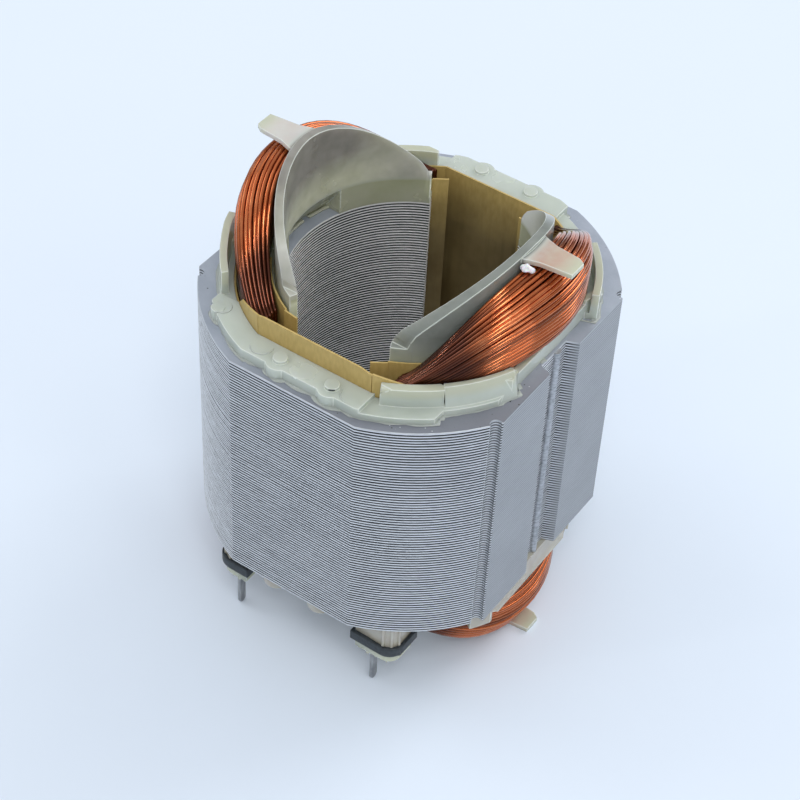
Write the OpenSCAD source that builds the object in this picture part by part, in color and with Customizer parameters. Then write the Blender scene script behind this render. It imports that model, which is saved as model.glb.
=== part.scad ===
// Field stator of a two-pole universal motor for a power tool.
// Millimetres. Z runs along the rotor bore, the two poles face each other along X,
// and the slots open towards +Y and -Y. The part stands on z = 0 with the bore on the Z axis.

/* [Lamination stack] */
// Number of steel plates in the stack
plate_count = 82; // [60:1:110]
// Thickness of one plate
plate_thickness = 0.5; // [0.35:0.05:0.65]
// Diameter over the round corners of the stack
outer_diameter = 60; // [50:0.5:75]
// Distance across the two ground flats behind the poles
across_pole_flats = 51.5; // [44:0.25:64]
// Distance across the two flats of the yokes
across_yoke_flats = 56.25; // [46:0.25:70]
// Diameter of the bore that the rotor turns in
bore_diameter = 35.8; // [30:0.1:44]
// Angle that each pole face covers
pole_arc = 129; // [110:1:140]
// Radial thickness of the pole tips
tip_thickness = 1.7; // [1.2:0.1:3]
// Width of the pole neck that a coil is wound on
neck_width = 20.4; // [14:0.2:26]
// Radial width of the yoke
yoke_width = 5.2; // [3.5:0.1:7]
// Width of the keyway in the middle of each pole flat, at the surface
keyway_width = 7.8; // [4:0.1:12]
// Depth of the keyway
keyway_depth = 1.75; // [0.8:0.05:2.5]
// Slant of each keyway side
keyway_slant = 0.8; // [0:0.1:2]
// Radius of the four small corner notches
corner_notch_radius = 0.85; // [0.4:0.05:1.5]
// Radius of the weld seam in each keyway
weld_radius = 0.65; // [0.4:0.05:1]
// Offset of the weld seam from the middle of the keyway
weld_offset = 0.6; // [-1.5:0.1:1.5]
// Plates between two cut joint lines
plates_per_joint = 4; // [2:1:8]
// Width and depth of a joint line
joint_size = 0.12; // [0.08:0.01:0.2]

/* [Insulator horns] */
// Height of the upper coil tabs over the stack
upper_rise = 16.5; // [10:0.1:20]
// Drop of the lower horns and tabs under the stack
lower_rise = 15.9; // [10:0.1:20]
// Height of the upper rims over their tabs
crest = 0.45; // [0:0.05:1]
// Wall thickness of a horn
horn_wall = 1.3; // [0.8:0.1:2.5]
// Distance of the horns and the base from the bore surface
setback = 0; // [0:0.05:0.5]
// Height of a horn at its two ends
horn_end_height = 6.1; // [3:0.1:9]
// Curvature of the horn rim
horn_curve = 1.8; // [1.2:0.05:3]
// Drop of the rounded corner at each horn end
horn_corner = 1.3; // [0:0.1:3]
// Reach of the coil tab from the bore axis
tab_reach = 26.1; // [23:0.1:29]
// Thickness of the coil tab
tab_thickness = 0.8; // [0.6:0.1:2]
// Half width of the tab at its tip
tab_tip_half = 1.7; // [1:0.1:3]
// Half width of the tab at the horn
tab_root_half = 2.7; // [1.5:0.1:4]
// Half width of the recess at the foot of a horn
recess_half = 6.2; // [3:0.1:8]
// Depth of the recess from the bore
recess_depth = 2.7; // [1:0.1:3]
// Height of the recess
recess_height = 4.4; // [2:0.1:6]

/* [Insulator base] */
// Thickness of the base on the stack ends
base_thickness = 1.1; // [0.6:0.1:2]
// Thickness of the lands on the yokes
land_thickness = 1.8; // [1:0.1:3]
// Radius of the base between the lands
base_radius = 27; // [25:0.1:29]
// Radius of the lands
land_radius = 28.4; // [26:0.1:29.8]
// Half width across the yoke lands
land_half_depth = 26.8; // [25:0.1:27.9]
// Half length of the upper yoke lands
land_half_length = 18.7; // [14:0.1:20]
// Where the thick part of an upper land steps down
land_step = 10; // [8:0.1:13]
// Half length of the lower yoke lands
lower_land_half = 16; // [12:0.1:18]
// Outer half width of the base behind the poles
base_pole_half = 23.5; // [22:0.1:25]
// Thickness of the walls around the coils
coil_wall = 1.1; // [0.8:0.1:2]
// Outer radius of the corner walls
wall_radius = 26.8; // [26:0.1:28]
// Height of the low wall behind each pole
low_wall_height = 2.5; // [1.5:0.1:5]
// Half length of the low wall
low_wall_half = 9.2; // [7:0.1:10]
// Angle at which the corner walls begin
corner_wall_from = 20; // [18:0.5:24]
// Angle at which the corner walls end
corner_wall_to = 45.5; // [40:0.5:46]
// Height of the corner wall at back right
corner_wall_height = 4.8; // [3:0.1:7]
// Height of the corner wall at front left
tall_wall_height = 6.5; // [4:0.1:9]
// Height of the curved walls beside the yoke lands
side_wall_height = 4.1; // [3:0.1:7]
// Thickness of the curved walls beside the yoke lands
side_wall = 1.35; // [1:0.05:1.8]
// Outer half width of the lower base behind the poles
lower_pole_half = 24.7; // [23.5:0.1:25.2]
// Height of the lower wall behind each pole
lower_wall_height = 4.8; // [3:0.1:5.5]
// Radius of the lower corner lugs
lug_radius = 29; // [27.5:0.1:29.8]
// Height of the lower corner lugs
lug_height = 2.5; // [1.5:0.1:4]
// Radius of the pegs on the yoke lands
peg_radius = 1.05; // [0.6:0.05:1.6]
// Height of the pegs over the land
peg_height = 0.5; // [0.2:0.1:1.5]
// Distance between the two pegs of a land
peg_spacing = 8.6; // [5:0.1:14]

/* [Slot papers] */
// Thickness of the slot paper
paper = 0.25; // [0.15:0.05:0.5]
// Height of the slot liners over the stack
liner_rise = 3; // [1:0.1:5]
// Drop of the slot liners under the stack
liner_drop = 1; // [0.5:0.1:3]
// Half width of the yoke papers
yoke_paper_half = 9.4; // [6:0.1:9.4]
// Highest point of the front yoke paper over the stack
front_paper_rise = 5.2; // [2:0.1:7]
// Height of the back papers over the stack
back_paper_rise = 1.9; // [1.2:0.1:4]
// Length of the loose liner flaps
flap_length = 2.4; // [1:0.1:4]

/* [Coils] */
// Turns of wire that show on the outside of a coil
turns = 24; // [12:1:30]
// Relief of the turns
turn_relief = 0.24; // [0.1:0.02:0.4]
// Clearance between a coil and the parts around it
coil_clearance = 0.3; // [0.1:0.05:0.6]
// Largest reach of a coil from the bore axis
coil_reach = 25.45; // [24:0.1:27]
// Half angle at which a coil leg begins beside the pole neck
leg_from = 36; // [30:1:45]
// Half angle at which a coil leg ends beside the slot opening
leg_to = 64.5; // [60:0.5:66]
// Flow of the coil ends from the slots to the middle
coil_flow = 2.5; // [1.5:0.1:4]
// Size of the resin drop on the right coil
resin_size = 0.55; // [0.3:0.05:0.6]

/* [Terminals] */
// Width of the wide terminal posts along X
post_width = 6.8; // [5:0.1:9]
// Width of the narrow terminal posts along X
narrow_post_width = 4.9; // [4:0.1:7]
// Depth of a terminal post along Y
post_depth = 4.9; // [3:0.1:7]
// Height of a terminal post under the stack
post_height = 7.2; // [6:0.1:10]
// Depth under the stack to which a post is slim beside the coil
post_slim = 5.6; // [4:0.1:5.6]
// Clearance between the slim posts and the coil leg
post_gap = 0.95; // [0.5:0.05:1.5]
// Distance of a post's inner side from the YZ plane
post_near = 10.1; // [7:0.1:11]
// Distance of a post's outer side from the XZ plane
post_far = 25.4; // [22:0.1:27]
// Corner radius of the posts
post_corner = 2; // [0.5:0.1:2.4]
// Width of a terminal blade
blade_width = 1.4; // [0.8:0.1:3]
// Thickness of a terminal blade
blade_thickness = 0.55; // [0.3:0.05:1]
// Distance of a blade from the XZ plane
blade_far = 22.9; // [20:0.1:25]
// Distance of a blade from the YZ plane
blade_near = 12.5; // [10:0.1:15]
// Shift of the blades along X
blade_shift = 0.55; // [-1:0.05:1]
// Height of a rubber band
band_height = 1.8; // [1:0.1:3]
// Thickness of a rubber band
band_thickness = 0.6; // [0.3:0.05:1]
// Distance of a band under the stack
band_drop = 3.7; // [2:0.1:5]
// Diameter of the coil wire
wire_diameter = 0.65; // [0.4:0.05:1]

/* [Hidden] */
$fn = 96;
e = 0.01;
stack_height = plate_count * plate_thickness;
stack_low = lower_rise;
stack_top = stack_low + stack_height;
r_outer = outer_diameter / 2;
r_bore = bore_diameter / 2;
r_tip = r_bore + tip_thickness;
r_inner = r_bore + setback;
r_horn = r_bore + horn_wall;
yoke_inner = across_yoke_flats / 2 - yoke_width;
r_yoke = r_outer - yoke_width;
neck_half = neck_width / 2;
pole_half_arc = pole_arc / 2;
pole_flat = across_pole_flats / 2;
keyway_floor = pole_flat - keyway_depth;
land_middle = (yoke_inner + land_half_depth) / 2;
opening_half_angle = 90 - pole_half_arc;
colour_steel = [0.62, 0.64, 0.67];
colour_nylon = [0.80, 0.84, 0.76];
colour_copper = [0.74, 0.36, 0.18];
colour_paper = [0.66, 0.53, 0.30];
colour_rubber = [0.14, 0.16, 0.18];
colour_tin = [0.60, 0.62, 0.64];
colour_resin = [0.93, 0.93, 0.92];

// A ring sector from one angle to another.
module sector(r_in, r_out, from, to) {
    intersection() {
        difference() {
            circle(r = r_out);
            circle(r = r_in);
        }
        polygon([
            [0, 0],
            [2 * r_out * cos(from), 2 * r_out * sin(from)],
            [3 * r_out * cos((from + to) / 2), 3 * r_out * sin((from + to) / 2)],
            [2 * r_out * cos(to), 2 * r_out * sin(to)]
        ]);
    }
}

// The open space inside one plate, grown outwards by g: bore, four slots and two slot mouths.
module plate_void(g) {
    circle(r = g > 0 ? r_inner : r_bore);
    difference() {
        intersection() {
            circle(r = r_yoke + g);
            square([4 * r_yoke, 2 * (yoke_inner + g)], center = true);
        }
        circle(r = r_tip);
        square([4 * r_yoke, 2 * (neck_half - g)], center = true);
    }
    for (s = [-1, 1]) {
        intersection() {
            circle(r = r_yoke + g);
            square([4 * r_yoke, 2 * (yoke_inner + g)], center = true);
            polygon([
                [0, 0],
                [60 * sin(opening_half_angle), s * 60 * cos(opening_half_angle)],
                [-60 * sin(opening_half_angle), s * 60 * cos(opening_half_angle)]
            ]);
        }
    }
}

// The outline of one plate without its inner space.
module plate_outline() {
    difference() {
        intersection() {
            circle(r = r_outer);
            square([across_pole_flats, across_yoke_flats], center = true);
        }
        for (s = [-1, 1]) {
            polygon([
                [s * keyway_floor, -keyway_width / 2 + keyway_slant],
                [s * keyway_floor, keyway_width / 2 - keyway_slant],
                [s * (pole_flat + 1), keyway_width / 2 + keyway_slant * 0.6],
                [s * (pole_flat + 1), -keyway_width / 2 - keyway_slant * 0.6]
            ]);
        }
        for (a = [33, 147, 213, 327]) {
            translate([r_outer * cos(a), r_outer * sin(a)])
                circle(r = corner_notch_radius);
        }
    }
}

module lamination_stack() {
    joints = floor((plate_count - 1) / plates_per_joint);
    color(colour_steel)
    translate([0, 0, stack_low])
    difference() {
        linear_extrude(height = stack_height)
        difference() {
            plate_outline();
            plate_void(0);
        }
        for (i = [1 : joints]) {
            translate([0, 0, i * plates_per_joint * plate_thickness - joint_size / 2])
            linear_extrude(height = joint_size)
            union() {
                difference() {
                    circle(r = r_outer + 2);
                    intersection() {
                        circle(r = r_outer - joint_size);
                        square([4 * r_outer, across_yoke_flats - 2 * joint_size], center = true);
                    }
                    square([across_pole_flats + 9, 2 * r_outer * sin(35)], center = true);
                }
                circle(r = r_bore + joint_size);
            }
        }
    }
}

// A weld bead along the floor of one keyway.
module weld_seam(s) {
    color(colour_tin)
    translate([0, 0, stack_low])
    intersection() {
        translate([s * keyway_floor, s * weld_offset, 0])
            cylinder(r = weld_radius, h = stack_height, $fn = 32);
        translate([s > 0 ? keyway_floor : -keyway_floor - 2, -4, 0])
            cube([2, 8, stack_height]);
    }
}

module weld_seam_right() {
    weld_seam(1);
}

module weld_seam_left() {
    weld_seam(-1);
}

// Rim height of a horn at angle a from the middle of its pole; its two end corners are rounded.
function rim(a, top) =
    top - (top - horn_end_height) * pow(abs(a) / pole_half_arc, horn_curve)
    - horn_corner * pow(max(0, (abs(a) - pole_half_arc + 5) / 5), 2);

// Place of rim point i of 2 * steps, closer together near the ends.
function rim_angle(i, steps, arc) =
    arc * sign(i - steps) * (1 - pow(1 - abs(i - steps) / steps, 1.4));

// One horn over the pole at +X, with its foot on z = 0: its tab lies at rise and its rim over that.
module horn(rise, over) {
    steps = 14;
    foot_half_angle = asin(recess_half / r_bore);
    arc = pole_half_arc - 0.3;
    top = rise + over;
    difference() {
        union() {
            intersection() {
                difference() {
                    cylinder(r = r_horn, h = top);
                    translate([0, 0, -1])
                        cylinder(r = r_inner, h = top + 2);
                }
                translate([0, 0, -1])
                linear_extrude(height = top + 2)
                polygon([
                    [0, 0],
                    [2 * r_horn * cos(arc), -2 * r_horn * sin(arc)],
                    [4 * r_horn, 0],
                    [2 * r_horn * cos(arc), 2 * r_horn * sin(arc)]
                ]);
                rotate([90, 0, 90])
                linear_extrude(height = 30)
                polygon(concat(
                    [[-r_horn - 1, 0], [-r_horn - 1, rim(arc, top)]],
                    [for (i = [0 : 2 * steps])
                        let (a = rim_angle(i, steps, arc))
                        [r_inner * sin(a), rim(a, top)]],
                    [[r_horn + 1, rim(arc, top)], [r_horn + 1, 0]]
                ));
            }
            rotate([0, 0, -foot_half_angle])
            rotate_extrude(angle = 2 * foot_half_angle)
            polygon([
                [r_horn - 0.5, 0],
                [r_bore + recess_depth + horn_wall, 0],
                [r_horn, recess_height + 0.6],
                [r_horn - 0.5, recess_height + 0.6]
            ]);
        }
        intersection() {
            rotate_extrude()
            polygon([
                [r_bore - 1, -1],
                [r_bore + recess_depth + recess_depth / recess_height, -1],
                [r_inner - e, recess_height],
                [r_bore - 1, recess_height]
            ]);
            translate([0, -recess_half, -1])
                cube([30, 2 * recess_half, 10]);
        }
    }
    translate([0, 0, rise - tab_thickness])
    linear_extrude(height = tab_thickness)
    difference() {
        polygon([
            [r_inner + 0.2, -tab_root_half - 0.6],
            [r_horn + 0.5, -tab_root_half],
            [r_horn + 2.2, -tab_tip_half - 0.45],
            [tab_reach, -tab_tip_half],
            [tab_reach, tab_tip_half - 0.5],
            [tab_reach - 0.9, tab_tip_half + 0.1],
            [r_horn + 2.2, tab_tip_half + 0.45],
            [r_horn + 0.5, tab_root_half],
            [r_inner + 0.2, tab_root_half + 0.6]
        ]);
        circle(r = r_inner + 0.1);
    }
}

// Base plate outline shared by both insulators.
module base_outline(pole_half) {
    intersection() {
        circle(r = base_radius);
        square([2 * pole_half, 2 * land_half_depth], center = true);
    }
}

// One yoke land towards -Y, from x = from to x = to.
module land_outline(from, to, r) {
    intersection() {
        circle(r = r);
        translate([from, -land_half_depth])
            square([to - from, land_half_depth - yoke_inner + 3.5]);
    }
}

// A wall around the coil at +X from angle a0 to a1, on its own foot beside the slot. Its top runs
// through [angle, height] points.
module arc_wall(r_out, wall, a0, a1, tops) {
    line = [for (t = tops) [r_out * sin(t[0]), t[1]]];
    last = len(line) - 1;
    linear_extrude(height = base_thickness)
        sector(r_yoke + 0.05, r_out, a0, a1);
    intersection() {
        linear_extrude(height = 12)
            sector(r_out - wall, r_out, a0, a1);
        rotate([90, 0, 90])
        linear_extrude(height = r_outer)
        polygon(concat([[line[0][0], -1]], line, [[line[last][0], -1]]));
    }
}

// The straight wall behind the pole at +X and its corner pieces at the ends listed in ends.
module pole_wall(pole_half, low, high, half, ends) {
    outer = on(wall_radius - 0.4, corner_wall_from + 4.5);
    inner = on(wall_radius - coil_wall + 0.1, corner_wall_from + 6.5);
    translate([pole_half - coil_wall, -half, 0])
        cube([coil_wall, 2 * half, low]);
    for (s = ends) {
        linear_extrude(height = low + (high - low) * 0.3)
        polygon([
            [pole_half - coil_wall, s * (half - 0.6)],
            [pole_half, s * (half - 0.6)],
            [outer[0], s * outer[1]],
            [inner[0], s * inner[1]]
        ]);
    }
}

// Two pegs on a land at -Y.
module pegs() {
    for (s = [-1, 1]) {
        translate([s * peg_spacing / 2 + 0.4, -land_middle - 0.35, 0])
            cylinder(r = peg_radius, h = land_thickness + peg_height, $fn = 32);
    }
}

// One end of a slanted wall: its foot and its top edge at radius r and angle a.
module slant_end(r, a, foot, h) {
    top = side_wall - 0.6;
    rotate([0, 0, a])
    translate([r - top, -0.05, 0]) {
        cube([top + foot, 0.1, 0.1]);
        translate([0, 0, h - 0.1])
            cube([top, 0.1, 0.1]);
    }
}

// Everything of the upper insulator that repeats when it is turned half round.
// The corner wall is high at high_end beside the pole and slopes to low_end beside the slot.
module upper_half(high_end, low_end) {
    side_in = r_yoke + 0.05;
    side_out = side_in + side_wall;
    r_slant = side_out - 0.6;
    a_slant = -asin((neck_half - 0.2) / r_slant);
    r_end = norm([base_pole_half - 0.1, low_wall_half - 0.2]);
    a_end = -atan2(low_wall_half - 0.2, base_pole_half - 0.1);
    horn(upper_rise, crest);
    pole_wall(base_pole_half, low_wall_height, corner_wall_height, low_wall_half, [-1, 1]);
    arc_wall(wall_radius, coil_wall, corner_wall_from, corner_wall_to,
        [[17, high_end - 0.3], [25.4, high_end], [31.5, (high_end + low_end) / 2], [48, low_end - 0.1]]);
    arc_wall(side_out, side_wall, -pole_half_arc, -corner_wall_to,
        [[-66.4, 2.2], [-62.8, side_wall_height - 0.5],
            [-60.9, side_wall_height], [-43.4, side_wall_height]]);
    rotate([0, 0, -corner_wall_to - 0.1])
    rotate_extrude(angle = corner_wall_to + 0.1 + a_slant)
    polygon([
        [side_in, 0],
        [r_slant + 1.2, 0],
        [r_slant, side_wall_height],
        [side_in, side_wall_height]
    ]);
    hull() {
        slant_end(r_slant, a_slant, 1.2, side_wall_height);
        slant_end(r_end, a_end, 0.4, low_wall_height + 0.7);
    }
}

module top_insulator() {
    color(colour_nylon)
    translate([0, 0, stack_top]) {
        linear_extrude(height = base_thickness)
        difference() {
            union() {
                base_outline(base_pole_half);
                land_outline(-land_half_length, land_half_length, land_radius);
                rotate([0, 0, 180])
                    land_outline(-land_step + 0.2, land_half_length, land_radius - 0.4);
            }
            plate_void(0.05);
            for (a = [0, 180]) {
                rotate([0, 0, a])
                translate([r_bore - 1, -recess_half, 0])
                    square([recess_depth + 1, 2 * recess_half]);
            }
        }
        linear_extrude(height = land_thickness)
        difference() {
            union() {
                land_outline(-land_half_length, land_step, land_radius);
                rotate([0, 0, 180])
                    land_outline(-land_step + 0.2, land_step, land_radius - 0.4);
                for (a = [0, 180]) {
                    rotate([0, 0, a]) {
                        for (s = [-1, 1]) {
                            translate([s * peg_spacing / 2 + 0.4, -land_middle - 0.65])
                                circle(r = peg_radius + 0.85);
                        }
                    }
                }
            }
            plate_void(0.05);
        }
        pegs();
        rotate([0, 0, 180])
            pegs();
        translate([1.7 - land_half_length, 0.8 - yoke_inner, 0])
            cylinder(r = 1, h = land_thickness + 0.1, $fn = 32);
        upper_half(corner_wall_height, corner_wall_height - 0.4);
        rotate([0, 0, 180])
            upper_half(tall_wall_height, corner_wall_height + 0.3);
    }
}

// Outline of a post at front right, width wide, grown by g on the outside.
module post_outline(width, g) {
    difference() {
        translate([post_near - g, -post_far - g])
            square([width + 2 * g, post_depth + 2 * g]);
        translate([post_near + width - post_corner, -post_far - g - 1])
        difference() {
            square([post_corner + g + 1, post_corner + g + 1]);
            translate([0, post_corner + g + 1])
                circle(r = post_corner + g, $fn = 48);
        }
    }
}

// A post at front right under z = 0: slim where the coil passes, full below it.
module post(width) {
    translate([0, 0, -post_slim])
    linear_extrude(height = post_slim)
    difference() {
        post_outline(width, 0);
        circle(r = r_post);
    }
    translate([0, 0, -post_height])
    linear_extrude(height = post_height - post_slim)
        post_outline(width, 0);
    for (a = [-86, -48, -14]) {
        translate([
            post_near + width - post_corner + post_corner * cos(a),
            -post_far + post_corner + post_corner * sin(a),
            -band_drop
        ])
            cylinder(r = 0.3, h = band_drop, $fn = 24);
    }
    for (i = [0 : 2]) {
        drop = 0.3 + 0.25 * (i % 2);
        translate([post_near + width * (0.1 + 0.22 * i), -post_far + 0.35, -post_height - drop])
            cylinder(r = 0.3, h = 1, $fn = 24);
    }
    translate([post_near + width - 1.7, -post_far + 1, -post_height - 1.3])
        cylinder(r1 = 0.12, r2 = 0.7, h = 1.5, $fn = 24);
}

// A blade's place on the plan: s is +1 at right, t is +1 at the back.
function blade_x(s, t) = s * blade_near + t * blade_shift;

// Socket of a blade, exactly its size, in the post.
module blade_solid(low, high) {
    translate([-blade_thickness / 2, -blade_width / 2, low])
        cube([blade_thickness, blade_width, high - low]);
}

// Everything of the lower insulator that repeats when it is turned half round, drawn upwards.
// The wall behind the pole falls at one end towards a lug in the corner of the stack.
module lower_half() {
    horn(lower_rise, 0);
    pole_wall(lower_pole_half, lower_wall_height, lower_wall_height - 0.8, low_wall_half, [1]);
    arc_wall(wall_radius, coil_wall, corner_wall_from + 4, corner_wall_to - 5,
        [[20, lower_wall_height - 0.4], [48, lower_wall_height - 0.4]]);
    translate([lower_pole_half - coil_wall, 0, 0])
    rotate([90, 0, 90])
    linear_extrude(height = coil_wall)
    polygon([
        [0.1 - low_wall_half, 0],
        [0.1 - low_wall_half, lower_wall_height],
        [-low_wall_half - 2.1, lug_height + 0.4],
        [-low_wall_half - 2.1, 0]
    ]);
    for (size = [[r_yoke + 0.05, base_thickness], [r_yoke + 1, lug_height]]) {
        linear_extrude(height = size[1])
        intersection() {
            sector(size[0], lug_radius, -34, -26.5);
            square([across_pole_flats, across_yoke_flats], center = true);
        }
    }
}

module bottom_insulator() {
    color(colour_nylon)
    difference() {
        translate([0, 0, stack_low]) {
            mirror([0, 0, 1]) {
                linear_extrude(height = base_thickness)
                difference() {
                    union() {
                        base_outline(lower_pole_half);
                        land_outline(-lower_land_half, lower_land_half, land_radius);
                        rotate([0, 0, 180])
                            land_outline(-lower_land_half, lower_land_half, land_radius);
                    }
                    plate_void(0.05);
                    for (a = [0, 180]) {
                        rotate([0, 0, a])
                        translate([r_bore - 1, -recess_half, 0])
                            square([recess_depth + 1, 2 * recess_half]);
                    }
                }
                linear_extrude(height = land_thickness)
                difference() {
                    for (a = [0, 180]) {
                        rotate([0, 0, a])
                        for (s = [-1, 1]) {
                            translate([s * (peg_spacing / 2 - 0.3), -land_middle - 0.75])
                                circle(r = 2 * peg_radius);
                        }
                    }
                    plate_void(0.05);
                }
                lower_half();
                rotate([0, 0, 180])
                    lower_half();
            }
            for (a = [0, 180]) {
                rotate([0, 0, a]) {
                    post(post_width);
                    mirror([1, 0, 0])
                        post(narrow_post_width);
                }
            }
        }
        for (s = [-1, 1]) {
            for (t = [-1, 1]) {
                translate([blade_x(s, t), t * blade_far, stack_low])
                    blade_solid(-post_height - 1, -post_slim);
            }
        }
    }
}

// A blade with a rounded tip that stands on z = 0.
module blade(s, t) {
    color(colour_tin)
    translate([blade_x(s, t), t * blade_far, 0]) {
        translate([-blade_thickness / 2, 0, blade_width / 2])
        rotate([0, 90, 0])
            cylinder(r = blade_width / 2, h = blade_thickness, $fn = 32);
        blade_solid(blade_width / 2, stack_low - post_slim);
    }
}

module blade_front_right() {
    blade(1, -1);
}

module blade_front_left() {
    blade(-1, -1);
}

module blade_back_right() {
    blade(1, 1);
}

module blade_back_left() {
    blade(-1, 1);
}

// A rubber band round a post at front right, width wide.
module band(width) {
    color(colour_rubber)
    translate([0, 0, stack_low - band_drop - band_height])
    linear_extrude(height = band_height)
    difference() {
        post_outline(width, band_thickness);
        circle(r = r_post - 0.2);
        difference() {
            post_outline(width, 0);
            circle(r = r_post);
        }
    }
}

module band_front_right() {
    band(post_width);
}

module band_front_left() {
    mirror([1, 0, 0])
        band(narrow_post_width);
}

module band_back_right() {
    mirror([0, 1, 0])
        band(narrow_post_width);
}

module band_back_left() {
    rotate([0, 0, 180])
        band(post_width);
}

// The liner of the slot at back right. Its inner edge is folded into the slot mouth at the flap
// angle; its outer leaf rises to the given height at the slot mouth and slopes down from there.
module liner(flap, leaf) {
    last = acos((yoke_paper_half + 0.02) / (r_yoke - paper));
    color(colour_paper) {
        translate([0, 0, stack_low - liner_drop])
        linear_extrude(height = stack_height + liner_drop + 0.9)
        difference() {
            intersection() {
                circle(r = r_yoke);
                translate([yoke_paper_half + 0.02, neck_half])
                    square([30, yoke_inner - neck_half]);
            }
            difference() {
                intersection() {
                    circle(r = r_yoke - paper);
                    translate([-1, neck_half + paper])
                        square([40, yoke_inner - neck_half - 2 * paper]);
                }
                circle(r = r_tip);
            }
            circle(r = r_tip);
            polygon([
                [0, 0],
                [r_tip * cos(pole_half_arc), r_tip * sin(pole_half_arc)],
                [yoke_paper_half + paper, yoke_inner - paper],
                [yoke_paper_half + paper, 40],
                [0, 40]
            ]);
        }
        intersection() {
            translate([0, 0, stack_low])
            linear_extrude(height = stack_height + leaf)
                sector(r_yoke - paper, r_yoke, 50, last);
            translate([0, 30, 0])
            rotate([90, 0, 0])
            linear_extrude(height = 30)
            polygon([
                [yoke_paper_half - 1.4, stack_low],
                [yoke_paper_half + 6.6, stack_low],
                [yoke_paper_half + 6.6, stack_top + 0.9],
                [yoke_paper_half + 4.8, stack_top + leaf * 0.65],
                [yoke_paper_half + 3.1, stack_top + leaf * 0.78],
                [yoke_paper_half + 1.6, stack_top + leaf * 0.88],
                [yoke_paper_half, stack_top + leaf * 0.97],
                [yoke_paper_half - 1.4, stack_top + leaf]
            ]);
        }
        translate([0, 0, stack_low - liner_drop])
        linear_extrude(height = stack_height + liner_drop + liner_rise) {
            sector(r_tip, r_tip + paper, asin(neck_half / r_tip) + 0.5, pole_half_arc);
            translate([(r_tip + paper) * cos(pole_half_arc), (r_tip + paper) * sin(pole_half_arc)])
            rotate([0, 0, flap])
            translate([-0.05, -paper])
                square([flap_length, paper]);
        }
    }
}

module slot_liner_back_right() {
    liner(172, back_paper_rise);
}

module slot_liner_back_left() {
    mirror([1, 0, 0])
        liner(145, back_paper_rise);
}

module slot_liner_front_right() {
    mirror([0, 1, 0])
        liner(145, front_paper_rise);
}

module slot_liner_front_left() {
    mirror([1, 0, 0])
    mirror([0, 1, 0])
        liner(172, front_paper_rise);
}

module yoke_paper_front() {
    low = stack_low - liner_drop;
    color(colour_paper)
    translate([0, paper - yoke_inner, 0])
    rotate([90, 0, 0])
    linear_extrude(height = paper)
    polygon([
        [-yoke_paper_half, low],
        [yoke_paper_half, low],
        [yoke_paper_half, stack_top + front_paper_rise - 0.4],
        [yoke_paper_half - 2, stack_top + front_paper_rise],
        [1 - yoke_paper_half, stack_top + front_paper_rise],
        [-yoke_paper_half, stack_top + front_paper_rise - 0.15]
    ]);
}

module yoke_paper_back() {
    color(colour_paper)
    translate([-yoke_paper_half, yoke_inner - paper, stack_low - liner_drop])
        cube([2 * yoke_paper_half, paper, stack_height + liner_drop + back_paper_rise]);
}

// Corners of a coil's section in the slot: from the slot mouth along the yoke, back by the tip.
leg_in = r_tip + paper + 0.2;
leg_out = r_yoke - paper - 0.15;
r_post = leg_out + post_gap;
function on(r, a) = [r * cos(a), r * sin(a)];
leg_line = concat(
    [on(leg_in, leg_to - 6)],
    [for (i = [0 : 6]) on(leg_out, leg_to + (leg_from - leg_to) * i / 6)]
);
leg_back = [on(leg_out, leg_from - 2), on((leg_in + leg_out) / 2, leg_from - 3), on(leg_in, leg_from - 2),
    on(leg_in, leg_from + 7), on(leg_in, leg_from + 15)];
r_near = r_horn + coil_clearance;
under_tab = tab_thickness + 0.65;

// Corners of the section in the middle of a coil end: [radius, height] for a given rise, over a
// pole wall with its outer face at half and its top at wall.
function mid_line(rise, half, wall) = [
    [r_near, rise - under_tab],
    [r_near + 2, rise - under_tab + 0.15],
    [r_near + 4.6, rise - under_tab - 1.15],
    [coil_reach - 0.2, rise * 0.66],
    [coil_reach, max(rise * 0.455, wall + 3)],
    [coil_reach - 0.5, wall + 2.4],
    [min(half + 0.5, coil_reach - 0.6), wall + 1.3],
    [half - coil_wall - 0.2, wall + 0.1],
    [half - coil_wall - 0.2, base_thickness + 0.25]
];
function mid_back(rise, half) = [
    [half - coil_wall - 0.6, base_thickness + 0.2],
    [r_near + 1.5, 3.6],
    [r_near + 0.45, 6],
    [r_near, rise * 0.5],
    [r_near, rise * 0.7]
];

// Length along a line of points up to point k, and the point at a share u of the whole length.
function run(p, k) = k == 0 ? 0 : run(p, k - 1) + norm(p[k] - p[k - 1]);
function seek(p, d, k) = k >= len(p) - 1 || run(p, k) >= d ? k : seek(p, d, k + 1);
function at(p, u) =
    let (d = u * run(p, len(p) - 1), k = max(1, seek(p, d, 1)), a = run(p, k - 1), b = run(p, k))
    p[k - 1] + (p[k] - p[k - 1]) * ((d - a) / max(b - a, e));

// Unit normal to a line at share u, to its left.
function side(p, u) =
    let (d = at(p, min(1, u + 0.01)) - at(p, max(0, u - 0.01)))
    [-d[1], d[0]] / max(norm(d), e);

// Outline points of both sections; each turn is a ridge between two grooves.
shown = 2 * turns;
function lift(i) = (i % 2 == 0 ? -0.5 : 0.5) * turn_relief;
leg_points = concat(
    [for (i = [0 : shown]) at(leg_line, i / shown) + side(leg_line, i / shown) * lift(i)],
    leg_back
);
function mid_points(rise, half, line) = concat(
    [for (i = [0 : shown]) at(line, i / shown) + side(line, i / shown) * lift(i)],
    mid_back(rise, half)
);

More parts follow.
